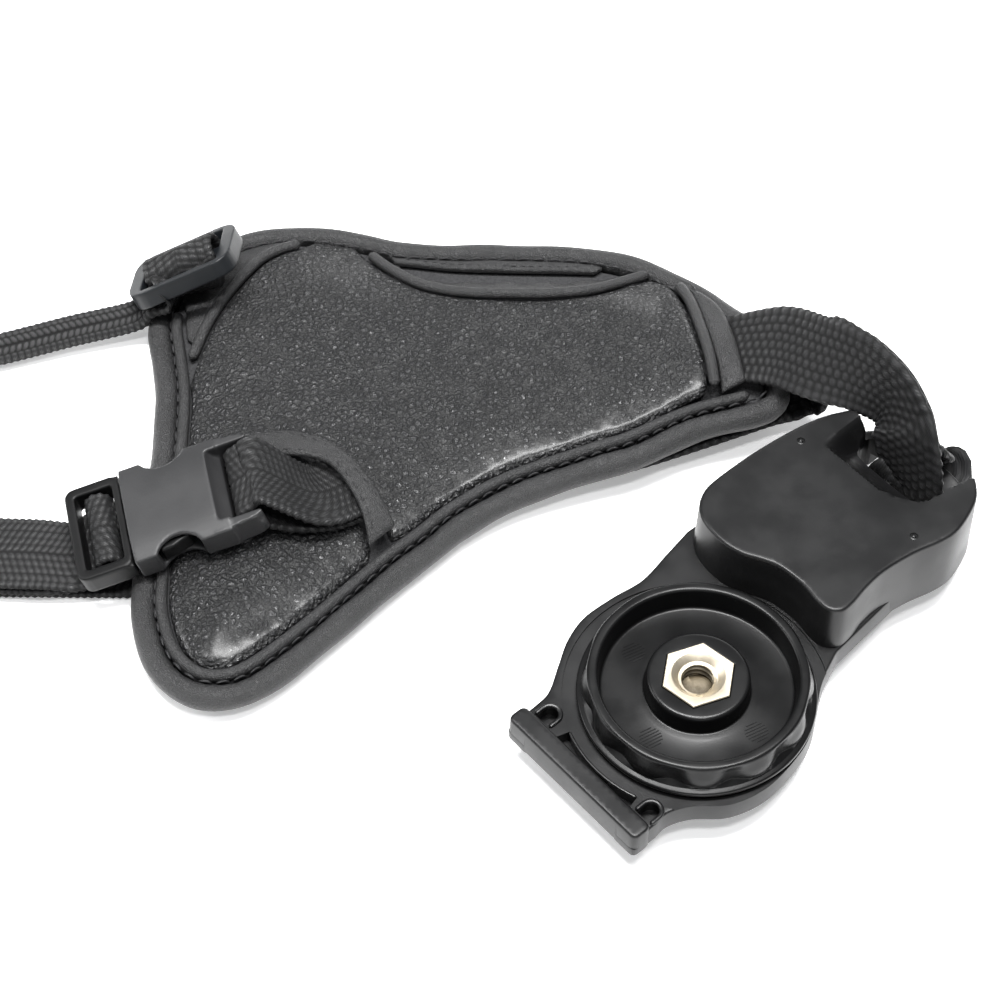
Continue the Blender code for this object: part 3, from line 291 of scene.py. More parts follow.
LEATHER_GRAIN = grained_leather()
LEATHER_SMOOTH = smooth_leather()
WEBBING = webbing_cloth()
PLATE_PLASTIC = moulded("plate_satin", 0.006, 0.36, texture=0.000010, scale=4.0, spread=0.05, specular=0.32)
WHEEL_PLASTIC = moulded("wheel_gloss", 0.003, 0.33, texture=0.000005, scale=2.5, spread=0.05, specular=0.26)
BUCKLE_PLASTIC = moulded("buckle_satin", 0.021, 0.48, texture=0.000022, scale=3.6, spread=0.05)
FRAME_PLASTIC = moulded("buckle_frame_satin", 0.004, 0.45, texture=0.000018, scale=4.0, spread=0.05, specular=0.22)
SLIDE_PLASTIC = moulded("slide_satin", 0.008, 0.42, tint=(0.85, 1.0, 1.2), texture=0.000014, scale=4.0, spread=0.05, specular=0.4)
RUBBER = moulded("grip_rubber_matt", 0.018, 0.85, tint=(1, 1, 1), texture=0.00003, scale=3.0, spread=0.06, specular=0.3)
PLATED = plated()
STEEL = steel()
LINING = microfibre()
FOAM = foam_skin()
THREAD = thread_cloth()


# ================================================================ helpers for shapes
def smooth_step(t):
    t = np.clip(t, 0.0, 1.0)
    return t * t * (3 - 2 * t)


def spline(points, steps, closed=False):
    """Catmull-Rom through the points; each point is a tuple of any length."""
    p = np.array(points, float)
    n = len(p)
    out = []
    for i in range(n if closed else n - 1):
        if closed:
            a, b, c, d = p[(i - 1) % n], p[i], p[(i + 1) % n], p[(i + 2) % n]
        else:
            b, c = p[i], p[i + 1]
            a = p[i - 1] if i else 2 * b - c
            d = p[i + 2] if i + 2 < n else 2 * c - b
        for k in range(steps):
            t = k / steps
            out.append(0.5 * (2 * b + (c - a) * t + (2 * a - 5 * b + 4 * c - d) * t**2 + (3 * b - a - 3 * c + d) * t**3))
    if not closed:
        out.append(p[-1])
    return np.array(out)


def lengths(p, dims=3):
    return np.concatenate([[0], np.cumsum(np.linalg.norm(np.diff(p[:, :dims], axis=0), axis=1))])


def even(points, spacing, closed=False, dims=3):
    """The same line with its points evenly spaced."""
    p = np.array(points, float)
    if closed:
        p = np.vstack([p, p[:1]])
    run = lengths(p, dims)
    count = max(3, int(round(run[-1] / spacing)))
    at = np.linspace(0, run[-1], count + 1)
    new = np.stack([np.interp(at, run, p[:, k]) for k in range(p.shape[1])], axis=1)
    return new[:-1] if closed else new


def cut(line, first, last):
    """An open line without its first and last so many millimetres."""
    p = np.array(line, float)
    run = lengths(p, 2)
    at = np.concatenate([[first], run[(run > first) & (run < run[-1] - last)], [run[-1] - last]])
    return np.stack([np.interp(at, run, p[:, k]) for k in range(p.shape[1])], axis=1)


def inset(outline, by):
    """A closed outline, counterclockwise, moved inwards."""
    p = np.array(outline, float)[:, :2]
    t = np.roll(p, -1, axis=0) - np.roll(p, 1, axis=0)
    t /= np.linalg.norm(t, axis=1)[:, None]
    return p + by * np.stack([-t[:, 1], t[:, 0]], axis=1)


def offset_line(points, by):
    """An open line moved to its left by a distance."""
    p = np.array(points, float)[:, :2]
    t = np.gradient(p, axis=0)
    t /= np.linalg.norm(t, axis=1)[:, None]
    return p + by * np.stack([-t[:, 1], t[:, 0]], axis=1)


def inside(points, outline):
    found = np.zeros(len(points), bool)
    a, b = outline, np.roll(outline, -1, axis=0)
    for k in range(0, len(points), 4000):
        x, y = points[k : k + 4000, 0][:, None], points[k : k + 4000, 1][:, None]
        cross = ((a[:, 1] > y) != (b[:, 1] > y)) & (x < (b[:, 0] - a[:, 0]) * (y - a[:, 1]) / (b[:, 1] - a[:, 1] + 1e-12) + a[:, 0])
        found[k : k + 4000] = cross.sum(axis=1) % 2 == 1
    return found


def edge_distance(points, outline, closed=True):
    """Distance in plan from each point to a line."""
    a = outline[:, :2] if closed else outline[:-1, :2]
    b = np.roll(outline, -1, axis=0)[:, :2] if closed else outline[1:, :2]
    d, dd = b - a, ((b - a) ** 2).sum(1) + 1e-12
    best = np.empty(len(points))
    for k in range(0, len(points), 2000):
        q = points[k : k + 2000, None, :2] - a[None]
        t = np.clip((q * d).sum(2) / dd, 0, 1)
        best[k : k + 2000] = np.sqrt(((q - t[..., None] * d) ** 2).sum(2).min(axis=1))
    return best


def wobble(x, y, scale, seed=0.0):
    """A smooth repeatable ripple made of a few waves, between about -1 and 1."""
    total = 0.0
    for k, (ax, ay, weight) in enumerate(((1.0, 0.31, 0.4), (-0.42, 1.07, 0.35), (0.77, -0.91, 0.3), (1.61, 1.23, 0.2), (-1.9, 0.66, 0.15))):
        total = total + weight * np.sin((ax * x + ay * y) / scale + seed + 1.7 * k)
    return total


def make(name, verts, faces, mat, nodes=(), body="root", matrix=None, sharp=35.0, uv=None):
    """A piece from points in millimetres, placed, finished, and riding on its body."""
    mesh = bpy.data.meshes.new(name)
    mesh.from_pydata([tuple(v) for v in verts], [], faces)
    mesh.update()
    if matrix is not None:
        mesh.transform(matrix)
    mesh.transform(TO_FRAME)
    bm = bmesh.new()
    bm.from_mesh(mesh)
    bmesh.ops.recalc_face_normals(bm, faces=bm.faces)
    bm.to_mesh(mesh)
    bm.free()
    if uv is not None:
        layer = mesh.uv_layers.new(name="UVMap")
        index = np.empty(len(mesh.loops), np.int32)
        mesh.loops.foreach_get("vertex_index", index)
        layer.data.foreach_set("uv", uv[index].astype(np.float32).ravel())
    return dress(name, mesh, mat, nodes, body, sharp)


def dress(name, mesh, mat, nodes=(), body="root", sharp=35.0):
    mesh.shade_smooth()
    if sharp:
        mesh.set_sharp_from_angle(angle=math.radians(sharp))
    mesh.materials.clear()
    mesh.materials.append(mat)
    obj = bpy.data.objects.new(name, mesh)
    scene.collection.objects.link(obj)
    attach(obj, body)
    if nodes:
        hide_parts(*nodes)
    return obj


def filled(outline, points):
    """Triangles over an outline, with extra points inside it: (points in plan, faces, border edges)."""
    flat = [Vector(p[:2]) for p in outline] + [Vector(p[:2]) for p in points]
    verts, _, faces, *_ = geometry.delaunay_2d_cdt(flat, [], [list(range(len(outline)))], 1, 1e-6)
    plan = np.array([(v.x, v.y) for v in verts])
    edges = {}
    for face in faces:
        for i, j in zip(face, list(face[1:]) + [face[0]]):
            edges[(i, j)] = True
    border = [(i, j) for i, j in edges if (j, i) not in edges]
    return plan, [list(f) for f in faces], border


def grid_points(outline, spacing, clear):
    lo, hi = outline[:, :2].min(0), outline[:, :2].max(0)
    xs, ys = np.meshgrid(np.arange(lo[0] + spacing / 3, hi[0], spacing), np.arange(lo[1] + spacing / 3, hi[1], spacing * 0.866))
    xs = xs + (np.arange(xs.shape[0]) % 2)[:, None] * spacing / 2
    pts = np.stack([xs.ravel(), ys.ravel()], axis=1)
    pts = pts[inside(pts, outline)]
    return pts[edge_distance(pts, outline) > clear]


def sheet(outline, top, low, roll=1.2, drop=0.7, spacing=0.9, relief=None):
    """A sewn panel: its top follows a height function and rolls down at the edge; its underside is plain."""
    ring = np.array(outline, float)[:, :2]
    ring = even(ring, min(spacing, 0.9), closed=True, dims=2)
    extra = []
    for d in (0.1, 0.3, 0.6, 0.95):
        if roll and d * roll > 0.04:
            row = inset(ring, d * roll)
            row = row[inside(row, ring)]
            row = row[edge_distance(row, ring) > 0.85 * d * roll]
            extra.append(row)
    extra.append(grid_points(ring, spacing, max(roll * 1.25, 0.5 * spacing)))
    plan, faces, border = filled(ring, np.vstack(extra))
    z = top(plan[:, 0], plan[:, 1])
    if roll:
        d = edge_distance(plan, ring)
        t = 1 - np.clip(d / roll, 0, 1)
        z = z - drop * (1 - np.sqrt(np.maximum(0.0, 1 - t * t)))
    if relief is not None:
        z = z + relief(plan[:, 0], plan[:, 1])
    n = len(plan)
    lower = low(plan[:, 0], plan[:, 1])
    lower = np.minimum(lower, z - 0.15)
    verts = np.vstack([np.column_stack([plan, z]), np.column_stack([plan, lower])])
    out = faces + [[i + n for i in reversed(f)] for f in faces] + [[j, i, i + n, j + n] for i, j in border]
    return verts, out


def pipe(path, radius, sides=16, closed=False, flat=1.0, turn=0.0):
    """A tube along a line; radius is a number or an array (points, sides)."""
    p = np.array(path, float)
    n = len(p)
    t = np.roll(p, -1, axis=0) - np.roll(p, 1, axis=0)
    if not closed:
        t[0], t[-1] = p[1] - p[0], p[-1] - p[-2]
    t /= np.linalg.norm(t, axis=1)[:, None]
    side = np.cross(t, (0, 0, 1.0))
    side /= np.linalg.norm(side, axis=1)[:, None]
    up = np.cross(side, t)
    a = 2 * np.pi * np.arange(sides) / sides + turn
    r = np.broadcast_to(np.asarray(radius, float), (n, sides)) if np.ndim(radius) != 1 else np.repeat(np.asarray(radius, float)[:, None], sides, 1)
    verts = p[:, None] + (r * np.cos(a))[..., None] * side[:, None] + (flat * r * np.sin(a))[..., None] * up[:, None]
    verts = verts.reshape(-1, 3)
    faces = []
    for i in range(n if closed else n - 1):
        j = (i + 1) % n
        for k in range(sides):
            m = (k + 1) % sides
            faces.append([i * sides + k, i * sides + m, j * sides + m, j * sides + k])
    if not closed:
        faces.append(list(range(sides)))
        faces.append([(n - 1) * sides + k for k in reversed(range(sides))])
    return verts, faces


def rounded_tip(radius, run, reach):
    """Radii along a tube that close it with round ends."""
    d = np.minimum(run, run[-1] - run)
    t = np.clip(d / reach, 0, 1)
    return radius * np.sqrt(np.maximum(0.02, 1 - (1 - t) ** 2))


def join(parts):
    verts, faces, base = [], [], 0
    for v, f in parts:
        verts.append(np.asarray(v))
        faces += [[i + base for i in face] for face in f]
        base += len(v)
    return np.vstack(verts), faces


def stitches(line, pitch=2.9, length=2.1, radius=0.26, sink=0.35, lift=0.0):
    """A run of sewing-thread stitches along a 3-D line: each rises out of the leather and dives back."""
    p = even(line, 0.25)
    run = lengths(p)
    parts = []
    count = int((run[-1] - length) / pitch)
    for k in range(count + 1):
        s = 0.3 + k * pitch + np.linspace(0, length, 7)
        if s[-1] > run[-1]:
            break
        q = np.stack([np.interp(s, run, p[:, c]) for c in range(3)], axis=1)
        arch = np.sin(np.linspace(0, math.pi, 7))
        q[:, 2] += lift - sink * (1 - arch)
        r = radius * (0.55 + 0.45 * np.sqrt(np.maximum(arch, 0)))
        parts.append(pipe(q, r, sides=6))
    return parts


# ---------------------------------------------------------------- solids made of joined and cut shapes
def temp(bm, name="temp"):
    bmesh.ops.remove_doubles(bm, verts=bm.verts, dist=1e-5)
    bmesh.ops.recalc_face_normals(bm, faces=bm.faces)
    mesh = bpy.data.meshes.new(name)
    bm.to_mesh(mesh)
    bm.free()
    obj = bpy.data.objects.new(name, mesh)
    scene.collection.objects.link(obj)
    return obj


def temp_mesh(verts, faces, name="temp"):
    bm = bmesh.new()
    vs = [bm.verts.new(tuple(v)) for v in verts]
    for f in faces:
        try:
            bm.faces.new([vs[i] for i in f])
        except ValueError:
            pass
    return temp(bm, name)


def combine(base, steps, remesh=None, soften=0, keep=1.0):
    """Applies the joins and cuts to base and returns its mesh in millimetres. With remesh, every edge is then rounded off."""
    for k, (operation, other) in enumerate(steps):
        mod = base.modifiers.new(f"step_{k}", "BOOLEAN")
        mod.operation, mod.object, mod.solver = operation, other, "EXACT"
    if remesh:
        mod = base.modifiers.new("remesh", "REMESH")
        mod.mode, mod.voxel_size, mod.adaptivity = "VOXEL", remesh, 0.0
        if soften:
            mod = base.modifiers.new("soften", "SMOOTH")
            mod.factor, mod.iterations = 0.5, soften
        if keep < 1.0:
            mod = base.modifiers.new("thin", "DECIMATE")
            mod.ratio = keep
    bpy.context.view_layer.update()
    graph = bpy.context.evaluated_depsgraph_get()
    mesh = bpy.data.meshes.new_from_object(base.evaluated_get(graph), depsgraph=graph)
    for _, other in steps:
        bpy.data.objects.remove(other)
    bpy.data.objects.remove(base)
    return mesh


def place(name, mesh, mat, nodes=(), body="root", matrix=None, sharp=35.0):
    if matrix is not None:
        mesh.transform(matrix)
    mesh.transform(TO_FRAME)
    mesh.name = name
    return dress(name, mesh, mat, nodes, body, sharp)


def block(x0, x1, y0, y1, z0, z1, bevel=0.0, segments=3):
    bm = bmesh.new()
    bmesh.ops.create_cube(bm, size=1)
    for v in bm.verts:
        v.co = (x0 if v.co.x < 0 else x1, y0 if v.co.y < 0 else y1, z0 if v.co.z < 0 else z1)
    if bevel:
        bmesh.ops.bevel(bm, geom=bm.edges[:], offset=bevel, segments=segments, affect="EDGES", profile=0.5)
    return temp(bm)


def prism(outline, z0, z1, top=None):
    ring = np.array(outline, float)[:, :2]
    upper = ring if top is None else np.array(top, float)[:, :2]
    bm = bmesh.new()
    a = [bm.verts.new((x, y, z0)) for x, y in ring]
    b = [bm.verts.new((x, y, z1)) for x, y in upper]
    bm.faces.new(a)
    bm.faces.new(b)
    for i in range(len(a)):
        j = (i + 1) % len(a)
        bm.faces.new((a[i], a[j], b[j], b[i]))
    return temp(bm)


def rod(radius, z0, z1, segments=64, at=(0.0, 0.0)):
    return prism([(at[0] + radius * math.cos(2 * math.pi * k / segments), at[1] + radius * math.sin(2 * math.pi * k / segments)) for k in range(segments)], z0, z1)


def fillet(points, steps=5):
    """A profile whose corners (r, z, radius) are rounded."""
    out = []
    n = len(points)
    for i, (r, z, rad) in enumerate(points):
        here = np.array((r, z))
        if not rad:
            out.append(here)
            continue
        before, after = np.array(points[i - 1][:2]), np.array(points[(i + 1) % n][:2])
        a, b = before - here, after - here
        la, lb = np.linalg.norm(a), np.linalg.norm(b)
        a, b = a / la, b / lb
        half = math.acos(max(-1, min(1, float(a @ b)))) / 2
        reach = min(rad / math.tan(half), la * 0.49, lb * 0.49)
        start, end = here + a * reach, here + b * reach
        for k in range(steps + 1):
            t = k / steps
            out.append((1 - t) ** 2 * start + 2 * t * (1 - t) * here + t**2 * end)
    return [(float(q[0]), float(q[1])) for q in out]


def turned(profile, segments, radius_of=None, closed=True):
    """A turned body; radius_of(r, z, angles) may change each ring's radii."""
    a = 2 * np.pi * np.arange(segments) / segments
    rows = []
    for k, (r, z) in enumerate(profile):
        rr = np.full(segments, float(r)) if radius_of is None else radius_of(k, r, z, a)
        rows.append(np.stack([rr * np.cos(a), rr * np.sin(a), np.full(segments, float(z))], axis=1))
    n = len(rows)
    faces = []
    for i in range(n if closed else n - 1):
        j = (i + 1) % n
        for k in range(segments):
            m = (k + 1) % segments
            faces.append([i * segments + k, i * segments + m, j * segments + m, j * segments + k])
    return np.vstack(rows), faces


# ================================================================ the hand pad
pad_edge = [
    (-62.6, 45.5), (-64.0, 37.4), (-62.6, 28.5), (-61.3, 20.3), (-60.9, 11.0), (-61.0, 4.0), (-61.8, -9.0), (-61.9, -23.5), (-60.9, -31.0),
    (-57.9, -38.6), (-52.7, -43.6), (-46.6, -44.6), (-40.2, -41.8), (-30.5, -32.8), (-18.8, -20.3), (-11.8, -13.8),
    (-6.3, -8.6), (2.9, -2.8), (17.4, 2.3), (24.6, 4.5), (35.4, 9.6), (45.6, 12.6), (49.8, 15.2), (50.6, 19.6),
    (49.4, 26.0), (46.2, 32.2), (42.0, 36.6), (36.6, 41.8), (27.9, 48.4), (18.7, 52.4), (9.5, 54.3), (0.0, 55.4),
    (-10.0, 56.0), (-19.4, 56.8), (-27.2, 59.0), (-38.9, 60.8), (-49.3, 58.7), (-57.2, 53.1),
]
edge_line = even(spline(pad_edge, 24, closed=True), 0.9, closed=True, dims=2)
edge_ring = edge_line[:, :2]
edge_coarse = even(edge_line, 2.5, closed=True, dims=2)[:, :2]


def pad_low(x, y):
    return PAD_LOW + PAD_RISE * smooth_step((np.asarray(x, float) + 15) / 65)


def crown(x, y):
    x, y = np.atleast_1d(np.asarray(x, float)), np.atleast_1d(np.asarray(y, float))
    d = edge_distance(np.stack([x, y], axis=1), edge_coarse)
    swell = 3.3 * (1 - np.exp(-((d / 10.0) ** 1.6)))
    lift = 1.8 * np.exp(-(((x - 4) / 17) ** 2) - (((y - 40) / 9) ** 2))
    return swell + lift + 1.7 * smooth_step((x - 28) / 9)


def pad_top(x, y):
    return pad_low(x, y) + 3.9 + crown(x, y)


def at_top(line, extra=0.0):
    p = np.array(line, float)[:, :2]
    return np.column_stack([p, pad_top(p[:, 0], p[:, 1]) + extra])


CRESCENT = [(-25.6, 55.2), (-21.8, 50.8), (-17.0, 46.4), (-13.0, 43.9), (-5.7, 41.4), (5.6, 39.8), (13.1, 40.0), (18.7, 41.4), (26.0, 45.2), (28.6, 46.2)]
LEFT_ARC = [(-58.3, 23.0), (-57.2, 27.6), (-55.0, 34.8), (-51.9, 42.0), (-48.4, 48.4), (-45.5, 52.8), (-42.3, 55.5), (-38.4, 57.2)]
END_SEAM = [(33.4, 42.4), (35.3, 37.2), (36.8, 29.8), (38.2, 21.6), (38.9, 15.2)]
END_EDGE = [(35.4, 41.2), (38.3, 39.2), (41.2, 35.2), (42.9, 28.6), (43.9, 21.6), (44.5, 16.6)]
STRIP_TOP = [(-56.9, 6.8), (-48.6, 7.3), (-39.8, 6.8), (-34.0, 4.4), (-28.2, 0.6), (-22.6, -5.8), (-18.2, -13.2)]
STRIP_LOW = [(-57.1, 1.2), (-46.0, 1.0), (-36.0, -0.6), (-30.2, -2.6), (-26.6, -7.0), (-24.0, -12.2), (-22.6, -17.2)]
arc_line, crescent_line, seam_line = (even(spline(line, 12), 0.6, dims=2) for line in (LEFT_ARC, CRESCENT, END_SEAM))
strip_top, strip_low = even(spline(STRIP_TOP, 12), 0.6, dims=2), even(spline(STRIP_LOW, 12), 0.6, dims=2)
strip_mid = even(spline([((a + c) / 2, (b + d) / 2) for (a, b), (c, d) in zip(STRIP_TOP, STRIP_LOW)], 12), 0.6, dims=2)
lower_ring = inset(edge_line, TUBE_R + 2 * PIPE_R + 0.55)
rear_ring = inset(edge_line, TUBE_R + 0.35)
GAP = PIPE_R + 0.25


def between(ring, first, last):
    """Points of a closed line from near one place to near another, counterclockwise."""
    i = int(np.argmin(np.linalg.norm(ring - np.array(first), axis=1)))
    j = int(np.argmin(np.linalg.norm(ring - np.array(last), axis=1)))
    return ring[i : j + 1] if j >= i else np.vstack([ring[i:], ring[: j + 1]])


def creases(x, y):
    """Slack of the leather: soft swells over the crown and small puckers that run in from the seams."""
    d = edge_distance(np.stack([x, y], axis=1), edge_coarse)
    near = np.exp(-((d - 5.0) / 3.2) ** 2)
    puckers = 0.10 * near * wobble(x, y, 0.95, 0.4)
    swells = 0.16 * wobble(x, y, 5.2, 1.1) * smooth_step((d - 5) / 6)
    return puckers + swells


def crescent_y(x):
    pts = np.array(CRESCENT)
    return np.interp(x, pts[:, 0], pts[:, 1], left=1e3, right=1e3)


main_outline = np.vstack([
    between(lower_ring, (-16.0, -12.0), (37.0, 14.2)),
    cut(offset_line(seam_line, -GAP)[::-1], 1.6, 1.6),
    between(rear_ring, (31.5, 43.2), (29.6, 44.6)),
    cut(offset_line(crescent_line, -GAP)[::-1], 0.8, 1.4),
    between(rear_ring, (-28.0, 56.0), (-35.6, 57.4)),
    cut(offset_line(arc_line, -GAP)[::-1], 1.2, 0.0),
    between(lower_ring, (-57.0, 19.0), (-56.6, 8.0)),
    cut(offset_line(strip_mid, 2.0), 1.2, 1.2),
])
v, f = sheet(main_outline, pad_top, lambda x, y: pad_top(x, y) - LEATHER, roll=1.5, drop=0.95, spacing=0.8, relief=creases)
main_panel = make("leather_main_panel", v, f, LEATHER_GRAIN, ("main_panel",))

lobe_outline = np.vstack([between(lower_ring, (-57.4, -3.0), (-22.5, -19.0)), cut(offset_line(strip_mid, -2.0)[::-1], 1.4, 1.2)])
v, f = sheet(lobe_outline, pad_top, lambda x, y: pad_top(x, y) - LEATHER, roll=1.5, drop=0.95, spacing=0.7, relief=creases)
lobe_panel = make("leather_lobe_panel", v, f, LEATHER_GRAIN, ("lobe_panel",))


# binding: a leather tube round the whole edge, drawn in a little at every stitch
def binding_radius(path, sides, base):
    run = np.concatenate([[0], np.cumsum(np.linalg.norm(np.diff(path, axis=0), axis=1))])
    a = 2 * np.pi * np.arange(sides) / sides
    inner = 0.5 + 0.5 * np.cos(a[None, :] - math.pi - 0.5)
    pull = 0.09 * inner**2 * (0.5 + 0.5 * np.cos(2 * np.pi * run / 2.9))[:, None]
    slack = 0.04 * (np.sin(run / 4.1)[:, None] * np.cos(a)[None] + np.sin(run / 2.3 + 1)[:, None] * np.sin(2 * a)[None])
    return base * (1 - pull + slack)


ring3 = np.column_stack([edge_ring, pad_low(edge_ring[:, 0], edge_ring[:, 1]) + TUBE_R + 0.05])
v, f = pipe(ring3, binding_radius(ring3, 22, TUBE_R + 0.12), sides=22, closed=True)
make("leather_edge_binding", v, f, LEATHER_SMOOTH, ("edge_binding",), sharp=0)

inner_ring = inset(edge_line, TUBE_R + PIPE_R + 0.22)
run_line = between(inner_ring, (-61.0, 40.0), (45.0, 15.6))
inner3 = np.column_stack([run_line, pad_low(run_line[:, 0], run_line[:, 1]) + 4.1])
v, f = pipe(inner3, rounded_tip(PIPE_R + 0.06, lengths(inner3), 1.5), sides=14)
make("leather_inner_piping", v, f, LEATHER_SMOOTH, ("inner_piping",), sharp=0)

for name, line, lift in (("arc", cut(arc_line, 5.0, 0.0), -0.1), ("crescent", cut(crescent_line, 1.0, 0.6), -0.05), ("end", cut(seam_line, 0.0, 1.0), -0.15)):
    p = at_top(line, lift)
    p[:, 2] += 0.06 * wobble(p[:, 0], p[:, 1], 2.0)
    v, f = pipe(p, rounded_tip(PIPE_R + 0.04, lengths(p), 1.2), sides=14)
    make(f"leather_{name}_piping", v, f, LEATHER_SMOOTH, (f"{name}_piping",), sharp=0)


def tab_bump(x, y):
    return 5.0 * np.exp(-(((x + 29.0) / 14) ** 4) - (((y + 5.0) / 14) ** 4))


strip_outline = np.vstack([strip_low, strip_top[::-1]])
v, f = sheet(
    strip_outline,
    lambda x, y: pad_top(x, y) + 1.25 + tab_bump(x, y),
    lambda x, y: pad_top(x, y) + 0.35 + tab_bump(x, y),
    roll=0.9, drop=0.6, spacing=0.8,
    relief=lambda x, y: 0.12 * wobble(x, y, 2.4, 2.0),
)
make("leather_cross_strip", v, f, LEATHER_SMOOTH, ("cross_strip",))

gusset_outline = np.vstack([cut(offset_line(arc_line, GAP), 9.0, 1.5), between(rear_ring, (-43.0, 57.6), (-60.0, 44.5)), between(lower_ring, (-60.0, 39.0), (-59.2, 32.8)) + (0.4, 0)])
v, f = sheet(gusset_outline, lambda x, y: pad_top(x, y) - 0.1, lambda x, y: pad_top(x, y) - 0.9, roll=0.8, drop=0.5, spacing=0.8, relief=lambda x, y: 0.14 * wobble(x, y, 2.1, 0.6))
make("leather_corner_gusset", v, f, LEATHER_SMOOTH, ("corner_gusset",))

facing_back = even(spline([(-20.6, 52.6), (-17.0, 50.2), (-13.4, 47.6), (-3.8, 46.6), (5.7, 45.2), (13.2, 45.0), (18.9, 46.2), (24.6, 47.0)], 12), 0.6, dims=2)
facing_outline = np.vstack([cut(offset_line(crescent_line, GAP), 3.5, 2.5), (facing_back + np.column_stack([np.zeros(len(facing_back)), 0.25 * np.sin(facing_back[:, 0] / 1.15)]))[::-1]])


def facing_top(x, y):
    back = np.maximum(0.0, y - crescent_y(x))
    return pad_top(x, y) - 0.3 - 0.24 * back + 0.22 * np.sin(x / 1.15 + 0.5) * smooth_step((back - 2.2) / 2.5)


v, f = sheet(facing_outline, facing_top, lambda x, y: facing_top(x, y) - 1.0, roll=0.9, drop=0.55, spacing=0.7)
make("leather_crescent_facing", v, f, LEATHER_SMOOTH, ("crescent_facing",))

band_front = even(spline([(-20.0, 52.9), (-16.0, 52.4), (-9.6, 51.4), (0.0, 50.4), (9.0, 49.4), (14.0, 48.8), (18.0, 48.2)], 12), 0.6, dims=2)
band_outline = np.vstack([band_front, between(rear_ring, (19.6, 49.2), (-21.0, 53.9))])
v, f = sheet(band_outline, lambda x, y: pad_low(x, y) + 4.0, lambda x, y: pad_low(x, y) + 2.9, roll=0.8, drop=0.5, spacing=0.7, relief=lambda x, y: 0.08 * wobble(x, y, 1.8))
make("leather_rear_band", v, f, LEATHER_SMOOTH, ("rear_band",))

end_edge = even(spline(END_EDGE, 12), 0.6, dims=2)
end_outline = np.vstack([cut(offset_line(seam_line, GAP), 1.5, 0.0), [(44.0, 17.4)], cut(end_edge[::-1], 1.0, 1.0)])
v, f = sheet(end_outline, lambda x, y: pad_top(x, y) - 0.05, lambda x, y: pad_top(x, y) - 0.85, roll=0.9, drop=0.6, spacing=0.7, relief=lambda x, y: 0.07 * wobble(x, y, 1.9, 0.3))
make("leather_end_strip", v, f, LEATHER_SMOOTH, ("end_strip",))


def core_top(x, y):
    top = pad_top(x, y) - LEATHER - 0.35 - 2.7 * smooth_step((x - 15) / 8)
    behind = smooth_step((y - crescent_y(x) + 3.0) / 3) * (crescent_y(x) < 500)
    top = top * (1 - behind) + (pad_low(x, y) + 2.1) * behind
    right = smooth_step((x - 36) / 5)
    return np.maximum(top * (1 - right) + (pad_low(x, y) + 2.0) * right, pad_low(x, y) + 2.0)


v, f = sheet(even(inset(edge_line, TUBE_R + 0.35), 2.0, closed=True, dims=2), core_top, lambda x, y: pad_low(x, y) + 1.4, roll=0.6, drop=0.3, spacing=2.6)
core = make("foam_pad_core", v, f, FOAM, ("foam_core",))

v, f = sheet(
    even(inset(edge_line, TUBE_R - 0.8), 1.2, closed=True, dims=2),
    lambda x, y: pad_low(x, y) + 1.1,
    lambda x, y: pad_low(x, y) + 0.3 + 0.10 * wobble(x, y, 4.0) ** 2,
    roll=0.4, drop=0.2, spacing=1.4,
)
make("lining_panel", v, f, LINING, ("pad_lining",))

# ---------------------------------------------------------------- sewing on the pad
groove = inset(edge_line, TUBE_R + 0.05)
groove3 = np.column_stack([groove, pad_low(groove[:, 0], groove[:, 1]) + 4.0])
sewing = stitches(np.vstack([groove3, groove3[:1]]), pitch=3.0, length=2.2, radius=0.24, sink=0.45)
for line, side, first, last in ((strip_top, -0.95, 1.5, 0.5), (strip_low, 0.95, 1.5, 0.5)):
    row = cut(offset_line(line, side), first, last)
    row3 = at_top(row, 1.28)
    row3[:, 2] += tab_bump(row3[:, 0], row3[:, 1])
    sewing += stitches(row3, pitch=2.6, length=1.9, radius=0.2, sink=0.3)
row = cut(offset_line(arc_line, GAP + 0.55), 9.5, 2.5)
sewing += stitches(at_top(row, -0.25), pitch=2.5, length=1.8, radius=0.19, sink=0.3)
row = cut(offset_line(crescent_line, GAP + 0.95), 5.5, 3.5)
row3 = np.column_stack([row, facing_top(row[:, 0], row[:, 1]) + 0.06])
sewing += stitches(row3, pitch=2.3, length=1.7, radius=0.18, sink=0.3)
row = cut(band_front + (0, 1.0), 1.5, 1.5)
sewing += stitches(np.column_stack([row, pad_low(row[:, 0], row[:, 1]) + 4.05]), pitch=1.7, length=1.2, radius=0.14, sink=0.25)
row = cut(offset_line(seam_line, GAP + 0.85), 1.0, 0.8)
sewing += stitches(at_top(row, -0.12), pitch=2.4, length=1.8, radius=0.18, sink=0.3)
v, f = join(sewing)
make("pad_stitching", v, f, THREAD, sharp=0)


